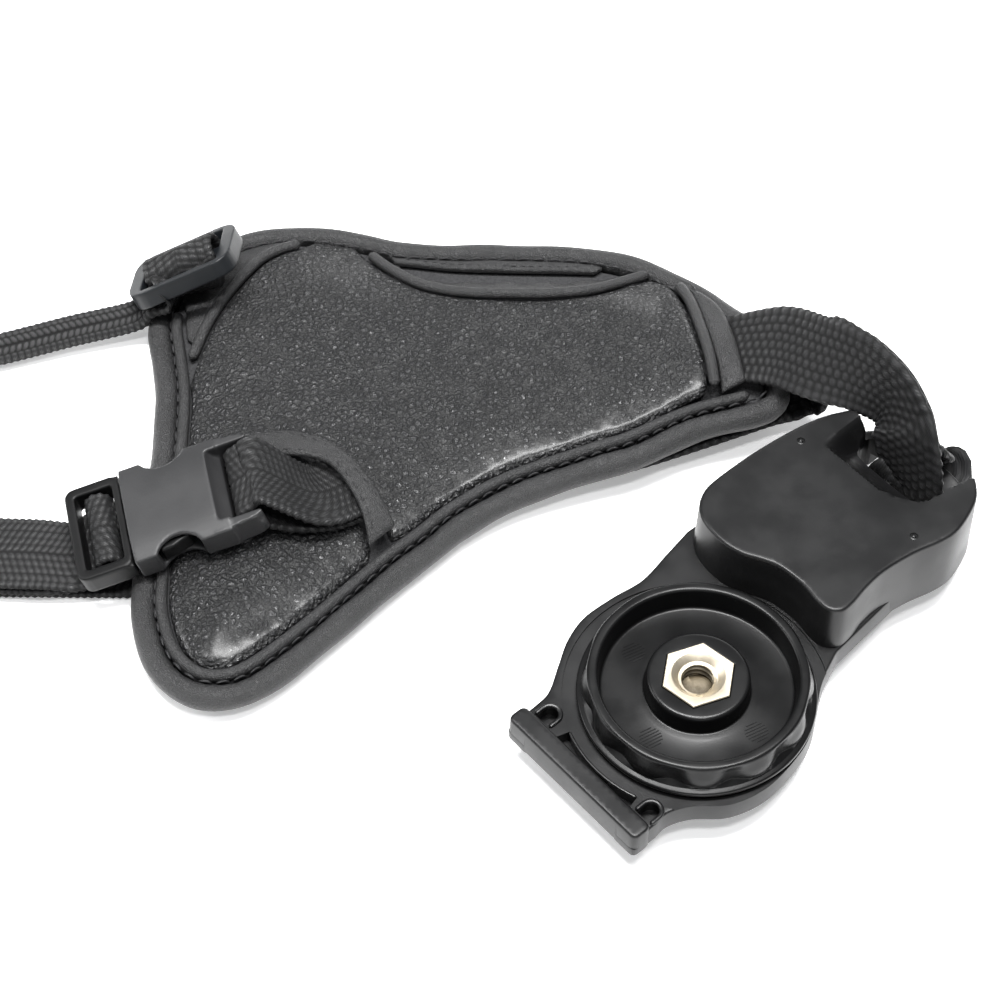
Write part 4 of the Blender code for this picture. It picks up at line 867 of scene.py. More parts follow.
# ================================================================ webbing
def weave(kind, u, v, width):
    """Height of the yarns above the webbing's middle surface, 0 to 1. u runs along it and v across, in millimetres."""
    if kind == "ladder":
        pitch, column, selvedge = 1.85, 1.6, 1.75
    else:
        pitch, column, selvedge = 1.25, 1.62, 1.35
    half = width / 2
    core = np.maximum(half - selvedge, 0.5)
    count = np.maximum(1, np.round(2 * core / column))
    wide = 2 * core / count
    at = (v + core) / wide
    index = np.floor(at)
    x = at - index - 0.5
    edge = np.abs(v) > core
    x_edge = np.clip((np.abs(v) - core) / selvedge, 0, 1) - 0.5
    if kind == "ladder":
        phase = 0.5 * np.mod(index, 2)
        row = 0.5 + 0.5 * np.cos(2 * np.pi * (u / pitch + phase + 0.06 * np.sin(v)))
        body = np.sqrt(np.maximum(np.cos(np.pi * x), 0)) * (0.18 + 0.82 * row**0.85)
        rim = np.sqrt(np.maximum(np.cos(np.pi * x_edge * 0.92), 0)) * (0.35 + 0.65 * (0.5 + 0.5 * np.cos(2 * np.pi * u / pitch)) ** 0.8)
    else:
        slant = np.where(v < 0, 1.0, -1.0)
        row = 0.5 + 0.5 * np.cos(2 * np.pi * (u / pitch + 0.55 * slant * x + 0.5 * np.mod(index, 2)))
        body = np.sqrt(np.maximum(np.cos(np.pi * x), 0)) * (0.2 + 0.8 * row**0.8)
        body = body * (1 - 0.55 * np.exp(-((v / 0.28) ** 2)))
        rim = np.sqrt(np.maximum(np.cos(np.pi * x_edge * 0.92), 0)) * (0.3 + 0.7 * (0.5 + 0.5 * np.cos(2 * np.pi * u / pitch)) ** 0.8)
    return np.where(edge, rim, body)


def strap(name, stations, kind, node, relief=0.34, step=0.32):
    """Webbing along the CAD model's own stations, woven in relief on both faces."""
    rows = [tuple(s) + ((WEB_T,) if len(s) == 6 else ()) for s in stations]
    p = even(spline(rows, 24), step)
    c, w, th = p[:, :3], p[:, 3:6], p[:, 6]
    wide = np.linalg.norm(w, axis=1)
    t = np.gradient(c, axis=0)
    t /= np.linalg.norm(t, axis=1)[:, None]
    side = w - (w * t).sum(1)[:, None] * t
    side /= np.linalg.norm(side, axis=1)[:, None]
    normal = np.cross(t, side)
    u = lengths(c)
    across = int(round(2 * wide.max() / 0.33))
    a = np.linspace(-1, 1, across + 1)
    a = np.sign(a) * (1 - (1 - np.abs(a)) ** 1.0)
    v = a[None] * wide[:, None]
    uu = np.repeat(u[:, None], across + 1, 1)
    full = 2 * wide[:, None]
    r = 0.5 * th[:, None]
    rim = np.clip((np.abs(v) - (wide[:, None] - r)) / r, 0, 1)
    body = np.sqrt(np.maximum(0.05, 1 - 0.92 * rim**2))
    bump = 0.10 * np.cos(2 * np.pi * uu / (1.85 if kind == "ladder" else 1.25)) * (np.abs(a)[None] > 0.9)
    up = r * body - relief * (1 - weave(kind, uu, v, full)) * 0.85 + relief * 0.35
    shift = 0.9
    down = r * body - relief * (1 - weave(kind, uu + shift, v, full)) * 0.85 + relief * 0.35
    place_v = (v + np.sign(v) * bump)[..., None] * side[:, None]
    top = c[:, None] + place_v + up[..., None] * normal[:, None]
    bottom = c[:, None] + place_v - down[..., None] * normal[:, None]
    ring = np.concatenate([top, bottom[:, ::-1]], axis=1)
    n, m = ring.shape[:2]
    verts = ring.reshape(-1, 3)
    base = (np.arange(n - 1)[:, None] * m + np.arange(m)[None]).ravel()
    nxt = (np.arange(n - 1)[:, None] * m + (np.arange(m)[None] + 1) % m).ravel()
    faces = np.stack([base, nxt, nxt + m, base + m], axis=1).tolist()
    for start in (0, (n - 1) * m):
        for k in range(across):
            faces.append([start + k, start + k + 1, start + m - 2 - k, start + m - 1 - k])
    uv = np.stack([np.repeat(u[:, None], m, 1), np.concatenate([v, v[:, ::-1] + 40.0], axis=1)], axis=2).reshape(-1, 2)
    obj = make(name, verts, faces, WEBBING, (node,), sharp=0, uv=uv)
    yarn = np.concatenate([weave(kind, uu, v, full), weave(kind, uu + shift, v, full)[:, ::-1]], axis=1)
    obj.data.attributes.new("weave", "FLOAT", "POINT").data.foreach_set("value", yarn.astype(np.float32).ravel())
    return obj


def slot_point(s, z, y=7.1):
    at = PLATE @ Vector((s, y, z))
    across = PLATE.to_3x3() @ Vector((0, WEB / 2, 0))
    return (*at, *across)


OUTER = [(44.0, 35.2, 10.9), (51.6, 28.5, 20.0), (58.7, 18.0, 27.4), (65.1, 8.8, 32.2), (69.7, 0.8, 33.0), (72.8, -5.0, 31.0), (74.2, -8.2, 27.0), (74.7, -11.2, 20.5)]
INNER = [(44.6, 20.6, 10.3), (48.6, 15.9, 13.8), (54.2, 11.3, 17.2), (60.2, 7.9, 19.8), (64.6, 4.8, 21.2), (66.1, 1.8, 19.8), (66.0, -0.4, 18.2), (65.4, 0.2, 17.4)]


def station(outer, inner):
    o, i = Vector(outer), Vector(inner)
    return (*((o + i) / 2), *((i - o).normalized() * (WEB / 2)))


def plate_station(outer, inner):
    return station(PLATE @ Vector(outer), PLATE @ Vector(inner))


upper_layer = [station(o, i) for o, i in zip(OUTER, INNER)]


def pad_station(x, y, z, heading):
    a = math.radians(heading + 90)
    return (x, y, float(np.ravel(z)[0]), -WEB / 2 * math.cos(a), -WEB / 2 * math.sin(a), 0)


def under_leather(x, y):
    return pad_top(x, y) - LEATHER - 1.05 - WEB_T / 2


first = [pad_station(x, y, under_leather(x, y), 0) for x, y in ((25.0, 26.8), (31.0, 26.9), (37.0, 27.0), (41.6, 27.1))]
down = [
    plate_station((56.1, -1.0, 18.0), (56.7, 10.6, 8.4)), plate_station((56.2, -0.9, 11.5), (56.6, 13.2, 7.8)),
    slot_point(58.4, 7.2), slot_point(62.4, 7.3), slot_point(65.2, 7.4),
]
BACK_OUTER = [(79.4, -1.5, 8.6), (77.9, 0.1, 12.4), (76.6, -3.6, 17.6), (74.9, -5.8, 23.9), (73.5, -2.5, 27.9), (70.3, 3.3, 30.0), (65.7, 11.4, 29.2), (59.2, 20.6, 24.4)]
BACK_INNER = [(70.5, 8.6, 9.8), (69.5, 8.3, 14.6), (68.8, 3.0, 16.8), (66.4, 1.3, 16.0), (66.5, 3.5, 17.6), (65.0, 6.5, 19.1), (60.6, 9.7, 17.7), (54.5, 13.1, 15.1)]
back = [station(o, i) for o, i in zip(BACK_OUTER, BACK_INNER)]
under = [
    pad_station(56.2, 22.4, 8.6, 30), pad_station(52.2, 21.6, 5.4, 24), pad_station(47.0, 19.8, pad_low(47, 20) - 1.1, 22), pad_station(41.0, 17.4, pad_low(41, 17) - 1.0, 21),
    pad_station(33.0, 14.5, pad_low(33, 14) - 1.0, 19), pad_station(24.0, 11.6, pad_low(24, 11) - 1.0, 17), pad_station(15.0, 9.3, pad_low(15, 9) - 1.0, 15),
]
strap("webbing_plate_strap", first + upper_layer[1:-1] + down + back + under, "ladder", "plate_strap", relief=0.42)

# ---------------------------------------------------------------- the buckle's own frame
BUCKLE_A, BUCKLE_B = Vector((-74.4, -14.7, 6.9)), Vector((-42.0, -6.8, 15.1))
BUCKLE_W, BUCKLE_T = 20.4, 6.6
bx = (BUCKLE_B - BUCKLE_A).normalized()
by = Vector((-bx.y, bx.x, 0)).normalized()
bz = bx.cross(by)
BUCKLE = Matrix.Translation(BUCKLE_A) @ Matrix((bx, by, bz)).transposed().to_4x4()


def on_buckle_point(x, z, half=WEB / 2, y=0.0):
    return (*(BUCKLE @ Vector((x, y, z))), *(BUCKLE.to_3x3() @ Vector((0, half, 0))))


def across_tab(angle):
    a = math.radians(angle)
    return (-math.sin(a) * WEB / 2, math.cos(a) * WEB / 2, 0.0)


def tab_z(x, y, layer):
    return float(pad_top(x, y)[0]) + (0.95, 2.45)[layer]


strap(
    "webbing_buckle_tab",
    [
        (-25.6, -3.6, tab_z(-25.6, -3.6, 1), *across_tab(40)),
        (-28.4, -5.6, tab_z(-28.4, -5.6, 1), *across_tab(38)),
        (-33.4, -7.9, 12.4, *across_tab(25)),
        on_buckle_point(34.9, 2.3), on_buckle_point(32.6, 2.0), on_buckle_point(30.2, 1.0), on_buckle_point(29.7, -0.8), on_buckle_point(30.6, -2.5), on_buckle_point(33.0, -3.4),
        (-36.0, -7.6, tab_z(-36.0, -7.6, 0) + 0.8, *across_tab(22)),
        (-31.6, -6.9, tab_z(-31.6, -6.9, 0) + 0.1, *across_tab(30)),
        (-28.4, -5.6, tab_z(-28.4, -5.6, 0), *across_tab(38)),
        (-25.6, -3.6, tab_z(-25.6, -3.6, 0), *across_tab(40)),
    ],
    "chevron", "buckle_tab", relief=0.36,
)

level = (0.0, WEB / 2, 0.0)
WRIST_OUT = -126.0
strap(
    "webbing_wrist_strap",
    [
        (-44.0, -14.6, 0.72, *level), (-54.0, -14.6, 0.7, *level), (-70.0, -14.4, 0.7, *level), (-90.0, -14.2, 0.7, *level),
        (-110.0, -14.0, 0.7, *level), (-122.0, -14.0, 0.75, *level), (WRIST_OUT, -14.0, 1.7, *level), (WRIST_OUT - 0.6, -14.0, 3.4, *level),
        (-124.0, -14.0, 4.9, *level), (-118.0, -14.0, 5.0, *level), (-104.0, -14.1, 4.1, *level), (-92.0, -14.3, 3.7, *level), (-82.0, -14.7, 3.75, *level),
        on_buckle_point(-1.6, -3.3), on_buckle_point(1.2, -3.0), on_buckle_point(3.1, -2.7), on_buckle_point(3.6, -0.9), on_buckle_point(3.9, 0.9),
        on_buckle_point(5.5, 1.75), on_buckle_point(7.0, 0.9), on_buckle_point(7.45, -0.8), on_buckle_point(6.9, -3.9), on_buckle_point(3.4, -5.0),
        (-78.4, -15.0, 2.3, *level), (-84.0, -14.8, 2.2, *level), (-90.0, -14.6, 2.2, *level),
    ],
    "chevron", "wrist_strap", relief=0.36,
)

# ---------------------------------------------------------------- the slide's own frame
SLIDE_AT = Vector((-58.8, 45.1, 12.8))
SLIDE_TURN, SLIDE_ROLL, SLIDE_TILT = 7.6, -25.0, -21.4
SLIDE_W, SLIDE_L, SLIDE_T = 21.6, 15.0, 3.4
SLIDE = (
    Matrix.Translation(SLIDE_AT)
    @ Matrix.Rotation(math.radians(SLIDE_TURN), 4, "Z")
    @ Matrix.Rotation(math.radians(SLIDE_ROLL), 4, "Y")
    @ Matrix.Rotation(math.radians(SLIDE_TILT), 4, "X")
)


def on_slide(y, z, half=7.3, x=0.0):
    return (*(SLIDE @ Vector((x, y, z))), *(SLIDE.to_3x3() @ Vector((half, 0, 0))))


se = (0.824 * 7.3, 0.566 * 7.3, 0.0)
tail = (0.55, 2.6, 1.3)
strap(
    "webbing_lug_strap",
    [
        (-51.6, 42.4, 0.72, *se), (-55.6, 48.2, 0.72, *se), (-58.8, 53.8, 0.85, *se), (-60.8, 56.2, 2.3, 6.4, 3.3, 1.1), (-60.8, 56.2, 4.6, 6.6, 2.2, 2.2),
        (-59.4, 54.8, 6.5, 6.6, 1.5, 2.8),
        on_slide(6.8, -2.75), on_slide(5.0, -2.4), on_slide(3.8, -0.9), on_slide(3.4, 0.6), on_slide(2.4, 2.6), on_slide(0.0, 3.6), on_slide(-2.4, 2.6),
        on_slide(-3.3, 0.6), on_slide(-3.3, -1.2, 7.0),
        (-60.2, 41.4, 9.6, 5.2, 3.0, 1.2, 1.3),
        (-64.6, 40.6, 7.6, 2.2, 3.2, 0.5, 1.5),
        (-69.2, 39.6, 5.0, *tail, 2.6), (-81.0, 36.9, 3.8, *tail, 3.0), (-94.0, 33.0, 3.15, *tail, 3.0),
        (-108.0, 29.2, 3.1, *tail, 3.0), (-124.0, 25.0, 3.1, *tail, 3.0),
    ],
    "chevron", "lug_strap", relief=0.34,
)

# ================================================================ buckle and slide, moulded
HW, HT = BUCKLE_W / 2, BUCKLE_T / 2
MOUTH, TOP_END, ARM_END = 10.5, 28.4, 34.4


def rounded_box(x0, x1, y0, y1, corner, steps=6):
    """Outline of a rectangle with round corners, counterclockwise."""
    out = []
    for cx, cy, a0 in ((x1 - corner, y0 + corner, -90), (x1 - corner, y1 - corner, 0), (x0 + corner, y1 - corner, 90), (x0 + corner, y0 + corner, 180)):
        for k in range(steps + 1):
            a = math.radians(a0 + 90 * k / steps)
            out.append((cx + corner * math.cos(a), cy + corner * math.sin(a)))
    return out


def lens(x0, x1, y0, y1, z0, z1, crown_h, steps=16):
    """A block whose top and bottom are slightly crowned across its width."""
    ys = np.linspace(y0, y1, steps + 1)
    mid, half = (y0 + y1) / 2, (y1 - y0) / 2
    t = (ys - mid) / half
    up = z1 - crown_h * t**4
    dn = z0 + crown_h * t**4
    bm = bmesh.new()
    a = [bm.verts.new((x0, y, z)) for y, z in list(zip(ys, up)) + list(zip(ys[::-1], dn[::-1]))]
    b = [bm.verts.new((x1, q.co.y, q.co.z)) for q in a]
    bm.faces.new(a)
    bm.faces.new(b)
    for i in range(len(a)):
        j = (i + 1) % len(a)
        bm.faces.new((a[i], a[j], b[j], b[i]))
    return temp(bm)


female = lens(MOUTH, TOP_END, -HW, HW, -HT, HT, 0.9)
steps = []
for side in (1, -1):
    y_out, y_in = side * (HW - 0.15), side * (WEB / 2 + 0.35)
    y_tip_out, y_tip_in = side * (HW - 0.9), side * (WEB / 2 + 0.45)
    arm = [(TOP_END - 3.0, y_in), (TOP_END - 3.0, y_out), (ARM_END - 1.6, y_tip_out), (ARM_END - 0.2, side * (WEB / 2 + 1.0)), (ARM_END - 0.5, y_tip_in)]
    steps.append(("UNION", prism(arm if side < 0 else arm[::-1], -HT + 0.5, HT - 0.7)))
bar = rod(1.35, -HW + 1.0, HW - 1.0, 24)
bar.data.transform(Matrix.Translation((ARM_END - 1.9, 0, -0.6)) @ Matrix.Rotation(math.radians(90), 4, "X"))
steps.append(("UNION", bar))
steps.append(("DIFFERENCE", block(MOUTH - 2, 26.0, -8.5, 8.5, -1.95, 1.95)))
scoop = rod(6.4, -7.6, 7.6, 40)
scoop.data.transform(Matrix.Translation((32.6, 0, 4.6)) @ Matrix.Rotation(math.radians(90), 4, "X"))
steps.append(("DIFFERENCE", scoop))
for side in (1, -1):
    y0, y1 = sorted((side * 7.0, side * 14))
    steps.append(("DIFFERENCE", block(14.6, 22.4, y0, y1, -1.94, 1.94)))
    steps.append(("DIFFERENCE", rod(4.5, -9, 9, 48, at=(18.6, side * (HW + 1.9)))))
mesh = combine(female, steps, remesh=0.26, soften=4)
place("buckle_female_half", mesh, BUCKLE_PLASTIC, ("buckle_female",), matrix=BUCKLE, sharp=0)

male_outline = [
    (0.0, -8.2), (0.8, -9.7), (2.2, -10.1), (10.1, -10.1), (10.1, -6.9), (15.2, -6.6), (15.3, -8.9), (17.4, -8.8), (20.4, -7.6), (22.6, -5.2),
    (21.9, -4.4), (19.8, -4.9), (10.1, -4.7), (10.1, -1.1), (20.8, -0.9), (20.8, 0.9), (10.1, 1.1), (10.1, 4.7), (19.8, 4.9), (21.9, 4.4),
    (22.6, 5.2), (20.4, 7.6), (17.4, 8.8), (15.3, 8.9), (15.2, 6.6), (10.1, 6.9), (10.1, 10.1), (2.2, 10.1), (0.8, 9.7), (0.0, 8.2),
]
male = prism(male_outline, -1.6, 1.6)
steps = [("UNION", prism(rounded_box(0.05, 10.15, -10.0, 10.0, 1.8), -2.1, 2.1))]
for x0, x1 in ((1.8, 4.6), (6.4, 8.8)):
    steps.append(("DIFFERENCE", block(x0, x1, -8.1, 8.1, -9, 9)))
steps.append(("DIFFERENCE", block(4.3, 6.7, -8.05, 8.05, 0.6, 9)))
mesh = combine(male, steps, remesh=0.24, soften=4)
place("buckle_male_half", mesh, FRAME_PLASTIC, ("buckle_male",), body="buckle_male", matrix=BUCKLE, sharp=0)

slide = prism(rounded_box(-SLIDE_W / 2, SLIDE_W / 2, -SLIDE_L / 2, SLIDE_L / 2, 3.6), -SLIDE_T / 2, SLIDE_T / 2)
steps = []
for y0, y1 in ((-5.9, -1.5), (1.5, 5.9)):
    steps.append(("DIFFERENCE", block(-8.0, 8.0, y0, y1, -9, 9)))
steps.append(("DIFFERENCE", block(-7.95, 7.95, -1.7, 1.7, 0.6, 9)))
mesh = combine(slide, steps, remesh=0.24, soften=6)
place("strap_slide_frame", mesh, SLIDE_PLASTIC, ("strap_slide",), matrix=SLIDE, sharp=0)

# ================================================================ the plate
PLATE_Z0, PLATE_Z1, HEAD_Z1, RAIL_Z1 = 5.3, 9.5, 20.0, 10.8
plate_left = [(-22.0, 16.3), (-18.2, 16.8), (-13.5, 19.6), (-8.8, 22.4), (-3.5, 24.0), (3.1, 23.8), (9.3, 23.1), (16.2, 24.3), (22.2, 25.4)]
plate_right = [(23.6, -9.8), (17.7, -12.3), (13.4, -15.2), (9.1, -18.0), (4.3, -19.7), (-3.6, -20.6), (-10.4, -18.9), (-15.4, -15.0), (-19.3, -13.4), (-22.0, -13.6)]
plate_outline = np.vstack([[(-25.5, 16.3)], spline(plate_left, 10), [(40.0, 24.9), (40.0, -8.3)], spline(plate_right, 10), [(-25.5, -13.6)]])[::-1]
plate_outline = even(plate_outline, 0.7, closed=True, dims=2)
head_points = [
    (20.3, 21.6), (23.0, 24.2), (27.5, 25.4), (39.2, 25.1), (50.6, 23.3), (58.6, 19.6), (61.8, 16.6), (63.4, 11.0),
    (63.9, 5.0), (63.4, -1.0), (62.0, -4.6), (59.0, -7.8), (55.0, -9.6), (50.8, -10.6), (47.1, -10.3), (41.5, -8.9),
    (35.5, -8.2), (31.0, -8.5), (27.0, -9.2), (24.2, -9.1), (22.3, -7.2), (22.1, -4.4), (22.7, -0.6), (22.4, 4.3),
    (21.2, 7.4), (19.6, 10.4), (18.8, 14.2), (19.1, 18.4),
]
head_outline = even(spline(head_points, 16, closed=True), 0.6, closed=True, dims=2)[::-1]


def capped(outline, z0, top, draft, edge, spacing):
    """A moulded boss: drafted walls, a rounded upper edge, and a top that follows a height function."""
    ring = np.array(outline, float)[:, :2]
    upper = inset(ring, draft)
    extra = []
    for d in (0.12, 0.3, 0.55, 0.9):
        row = inset(upper, d * edge)
        row = row[inside(row, upper)]
        extra.append(row[edge_distance(row, upper) > 0.85 * d * edge])
    extra.append(grid_points(upper, spacing, max(edge * 1.2, 0.4 * spacing)))
    plan, faces, border = filled(upper, np.vstack(extra))
    d = edge_distance(plan, upper)
    t = 1 - np.clip(d / edge, 0, 1)
    z = top(plan[:, 0], plan[:, 1]) - edge * (1 - np.sqrt(np.maximum(0, 1 - t * t)))
    n = len(plan)
    order = {}
    for i, j in border:
        order[i] = j
    loop = [border[0][0]]
    while order[loop[-1]] != loop[0]:
        loop.append(order[loop[-1]])
    rim = plan[loop]
    near = np.array([int(np.argmin(np.linalg.norm(upper - q, axis=1))) for q in rim])
    foot = ring[near] + (rim - upper[near])
    verts = np.vstack([np.column_stack([plan, z]), np.column_stack([foot, np.full(len(loop), z0)])])
    out = list(faces)
    m = len(loop)
    for k in range(m):
        j = (k + 1) % m
        out.append([loop[j], loop[k], n + k, n + j])
    out.append([n + k for k in range(m)])
    return temp_mesh(verts, out)


SLOT_Y0, SLOT_Y1 = -1.6, 16.2


VALLEY_PLAN = np.array([
    (75.0, 32.0), (40.0, 32.0), (44.5, 8.0), (48.0, 3.5), (49.0, 0.8), (50.3, -1.2), (52.2, -2.2), (54.6, -2.5), (57.8, -2.9), (61.5, -3.8), (66.0, -4.6), (75.0, -5.0),
])


def head_top(x, y):
    """Flat, with a round valley towards the strap's slot; soft on the left, crisp at the horn on the right."""
    span = np.clip((x - 58.6) / 13.0, -1, 1)
    valley = np.minimum(HEAD_Z1, 26.2 - 13.0 * np.sqrt(np.maximum(0.0, 1 - span**2)))
    left = np.maximum(smooth_step((SLOT_Y1 + 2.0 - y) / 3.0), smooth_step((x - 56.6) / 1.0))
    pts = np.stack([x, y], axis=1)
    away = edge_distance(pts, VALLEY_PLAN) * np.where(inside(pts, VALLEY_PLAN), 1.0, -1.0)
    w = left * smooth_step(away / 0.8 + 0.4)
    return HEAD_Z1 - w * (HEAD_Z1 - valley)


head = capped(head_outline, PLATE_Z0 + 0.4, head_top, 0.5, 0.6, 0.5)
slot_shape = even(spline([(53.3, SLOT_Y0 + 2.2), (54.8, SLOT_Y0 + 0.4), (59.0, SLOT_Y0), (59.0, 7), (59.0, SLOT_Y1), (54.8, SLOT_Y1 - 0.4), (53.3, SLOT_Y1 - 2.2), (52.9, 7)], 8, closed=True), 0.8, closed=True, dims=2)
steps = [("DIFFERENCE", prism(slot_shape, 0, 30)), ("DIFFERENCE", block(54.0, 70.0, SLOT_Y0 + 0.05, SLOT_Y1 - 0.05, 0.0, 9.0))]
for x0, x1, y0, y1 in ((24.6, 35.6, -5.6, 7.4), (24.6, 35.6, 9.4, 22.2), (37.6, 48.6, -5.6, 7.4), (37.6, 48.6, 9.4, 21.6)):
    steps.append(("DIFFERENCE", block(x0, x1, y0, y1, 0.0, HEAD_Z1 - 2.6, bevel=0.6)))
for at in ((44.74, 21.0), (44.36, -6.02)):
    steps.append(("DIFFERENCE", rod(0.75, HEAD_Z1 - 0.35, 30, 24, at=at)))
head_mesh = combine(head, steps)


def flat_top(z):
    return lambda x, y: np.full(np.shape(x), z)


slab = capped(plate_outline, PLATE_Z0, flat_top(PLATE_Z1), 0.2, 0.45, 1.6)
steps = [("DIFFERENCE", rod(22.4, PLATE_Z1 - 0.35, 30, 120))]
d_rings, d_shapes = [], []
for y0, y1 in ((11.3, 14.8), (-12.9, -9.4)):
    mid, half = (y0 + y1) / 2, (y1 - y0) / 2
    d_shape = [(-22.8, y0), (-22.8, y1)] + [(-20.9 + half * math.cos(a), mid + half * math.sin(a)) for a in np.linspace(math.pi / 2, -math.pi / 2, 17)]
    d_shapes.append(d_shape)
    steps.append(("DIFFERENCE", prism(d_shape, 6.6, 30)))
crescent_arc = [(-22.4 * math.cos(a), 22.4 * math.sin(a)) for a in np.linspace(0.39, -0.36, 31)]
crescent = [(-23.15, 9.3)] + crescent_arc + [(-23.15, -8.4)]
steps.append(("DIFFERENCE", prism(crescent, 7.0, 30)))
steps.append(("DIFFERENCE", rod(6.0, 0, 30, 60)))
steps.append(("DIFFERENCE", rod(8.3, 0, 7.5, 60)))
steps.append(("DIFFERENCE", block(24.0, 49.2, -6.2, 22.8, 0.0, 9.0)))
slab_mesh = combine(slab, steps)

# the rail across the front, with a foot at each end and a step behind it
rail_parts = [
    prism(rounded_box(-27.2, -23.2, -13.9, 16.9, 1.1), PLATE_Z0 + 0.5, RAIL_Z1 - 0.02),
]
rail_outline = even(rounded_box(-27.2, -23.2, -13.9, 16.9, 1.2), 0.5, closed=True, dims=2)
bpy.data.objects.remove(rail_parts.pop())
rail = capped(rail_outline, PLATE_Z0 + 0.35, flat_top(RAIL_Z1), 0.12, 0.5, 0.9)
foot_a = capped(even(rounded_box(-27.2, -23.4, 11.6, 16.85, 0.9), 0.5, closed=True, dims=2), PLATE_Z0, flat_top(PLATE_Z0 + 2.0), 0.0, 0.3, 1.0)
foot_b = capped(even(rounded_box(-27.2, -23.4, -13.85, -8.6, 0.9), 0.5, closed=True, dims=2), PLATE_Z0, flat_top(PLATE_Z0 + 2.0), 0.0, 0.3, 1.0)
rail_mesh = combine(rail, [("UNION", foot_a), ("UNION", foot_b)])

# thin raised lips round the sockets and the crescent slot
lips = []
for shape, wide in ((d_shapes[0][1:] + [d_shapes[0][0]], 0.42), (d_shapes[1][1:] + [d_shapes[1][0]], 0.42), (crescent_arc, 0.26)):
    loop = even(shape, 0.35, dims=2)
    loop = np.column_stack([loop, np.full(len(loop), PLATE_Z1 + 0.06)])
    lips.append(pipe(loop, rounded_tip(wide, lengths(loop), 0.5), sides=12))
ring = [(22.4 * math.cos(a), 22.4 * math.sin(a), PLATE_Z1 - 0.06) for a in np.linspace(0, 2 * math.pi, 240, endpoint=False)]
dimples = []
for x, y in ((44.74, 21.0), (44.36, -6.02)):
    prof = [(0.75, HEAD_Z1 - 0.4), (0.75, HEAD_Z1 - 0.2), (0.45, HEAD_Z1 - 0.12), (0.25, HEAD_Z1 + 0.12), (0.02, HEAD_Z1 + 0.2), (0.02, HEAD_Z1 - 0.4)]
    dv, df = turned(prof, 20)
    dimples.append((dv + np.array((x, y, 0)), df))
lip_v, lip_f = join(lips + dimples)

base = bmesh.new()
for part in (head_mesh, slab_mesh, rail_mesh):
    base.from_mesh(part)
lip = bpy.data.meshes.new("lip")
lip.from_pydata([tuple(q) for q in lip_v], [], lip_f)
base.from_mesh(lip)
plate_mesh = bpy.data.meshes.new("plate_body")
bmesh.ops.recalc_face_normals(base, faces=base.faces)
base.to_mesh(plate_mesh)
base.free()
place("plate_body", plate_mesh, PLATE_PLASTIC, ("base_plate",), matrix=PLATE, sharp=28.0)

# the rubber pad under the plate, ribbed across
rubber_outline = inset(even(np.vstack([[(-24.0, 15.0)], spline(plate_left, 10)[10:], [(36.0, 24.6), (47.0, 23.0), (49.2, 20.5), (49.2, -7.5), (47.0, -9.0), (36.0, -7.6)], spline(plate_right, 10)[:-10], [(-24.0, -12.2)]])[::-1], 1.0, closed=True, dims=2), 1.8)


def ribs(x, y):
    return 0.14 * smooth_step(0.5 + 1.4 * np.cos(2 * np.pi * (x + 0.35 * y) / 2.4))


pad_v, pad_f = sheet(rubber_outline, flat_top(-4.42), flat_top(-5.0), roll=0.4, drop=0.25, spacing=0.75, relief=lambda x, y: ribs(x, y) - 0.14)
pad_v = np.array(pad_v)
pad_v[:, 2] *= -1
rubber = temp_mesh(pad_v, pad_f)
mesh = combine(rubber, [("DIFFERENCE", rod(8.8, 0, 30, 60))])
place("rubber_pad", mesh, RUBBER, ("grip_rubber",), matrix=PLATE, sharp=40.0)

# ================================================================ thumbwheel
FLANGE_R, FLANGE_Z0, FLANGE_Z1 = 20.0, 9.9, 10.9
RIM_R, RIM_IN_R, RIM_Z1, DISH_Z = 18.4, 16.5, 15.9, 11.3
BOSS_R, BOSS_Z1, THREAD_R = 8.6, 15.2, 3.175
HEX_AF, HEX_Z0, HEX_Z1, HEX_TURN = 11.1, 10.6, 15.45, math.radians(20.0)


def hexagon(angle, across_flats):
    a = np.mod(angle - HEX_TURN + math.pi / 6, math.pi / 3) - math.pi / 6
    a = np.mod(angle - HEX_TURN, math.pi / 3) - math.pi / 6
    return across_flats / 2 / np.cos(a)


profile = fillet([
    (3.65, 7.9, 0.0), (5.6, 7.9, 0.3), (5.6, FLANGE_Z0, 0.0), (FLANGE_R, FLANGE_Z0, 0.35), (FLANGE_R, FLANGE_Z1 - 0.15, 0.45), (19.1, FLANGE_Z1 + 0.1, 0.3),
    (18.7, FLANGE_Z1 + 0.55, 0.2), (18.75, 12.2, 0.0), (18.7, 13.0, 0.0), (18.6, 13.8, 0.0), (18.45, 14.6, 0.0), (RIM_R, RIM_Z1, 0.8), (RIM_IN_R + 0.1, RIM_Z1, 0.7),
    (RIM_IN_R - 0.35, DISH_Z + 0.02, 0.6), (13.9, DISH_Z, 0.0), (13.7, DISH_Z, 0.0), (10.4, DISH_Z, 0.0), (10.2, DISH_Z + 0.06, 0.0),
    (BOSS_R + 0.25, DISH_Z + 0.12, 0.4), (BOSS_R, BOSS_Z1, 0.85), (6.9, BOSS_Z1, 0.0), (6.0, BOSS_Z1, 0.12), (6.0, HEX_Z0 + 0.2, 0.0), (3.65, HEX_Z0 + 0.2, 0.0),
])


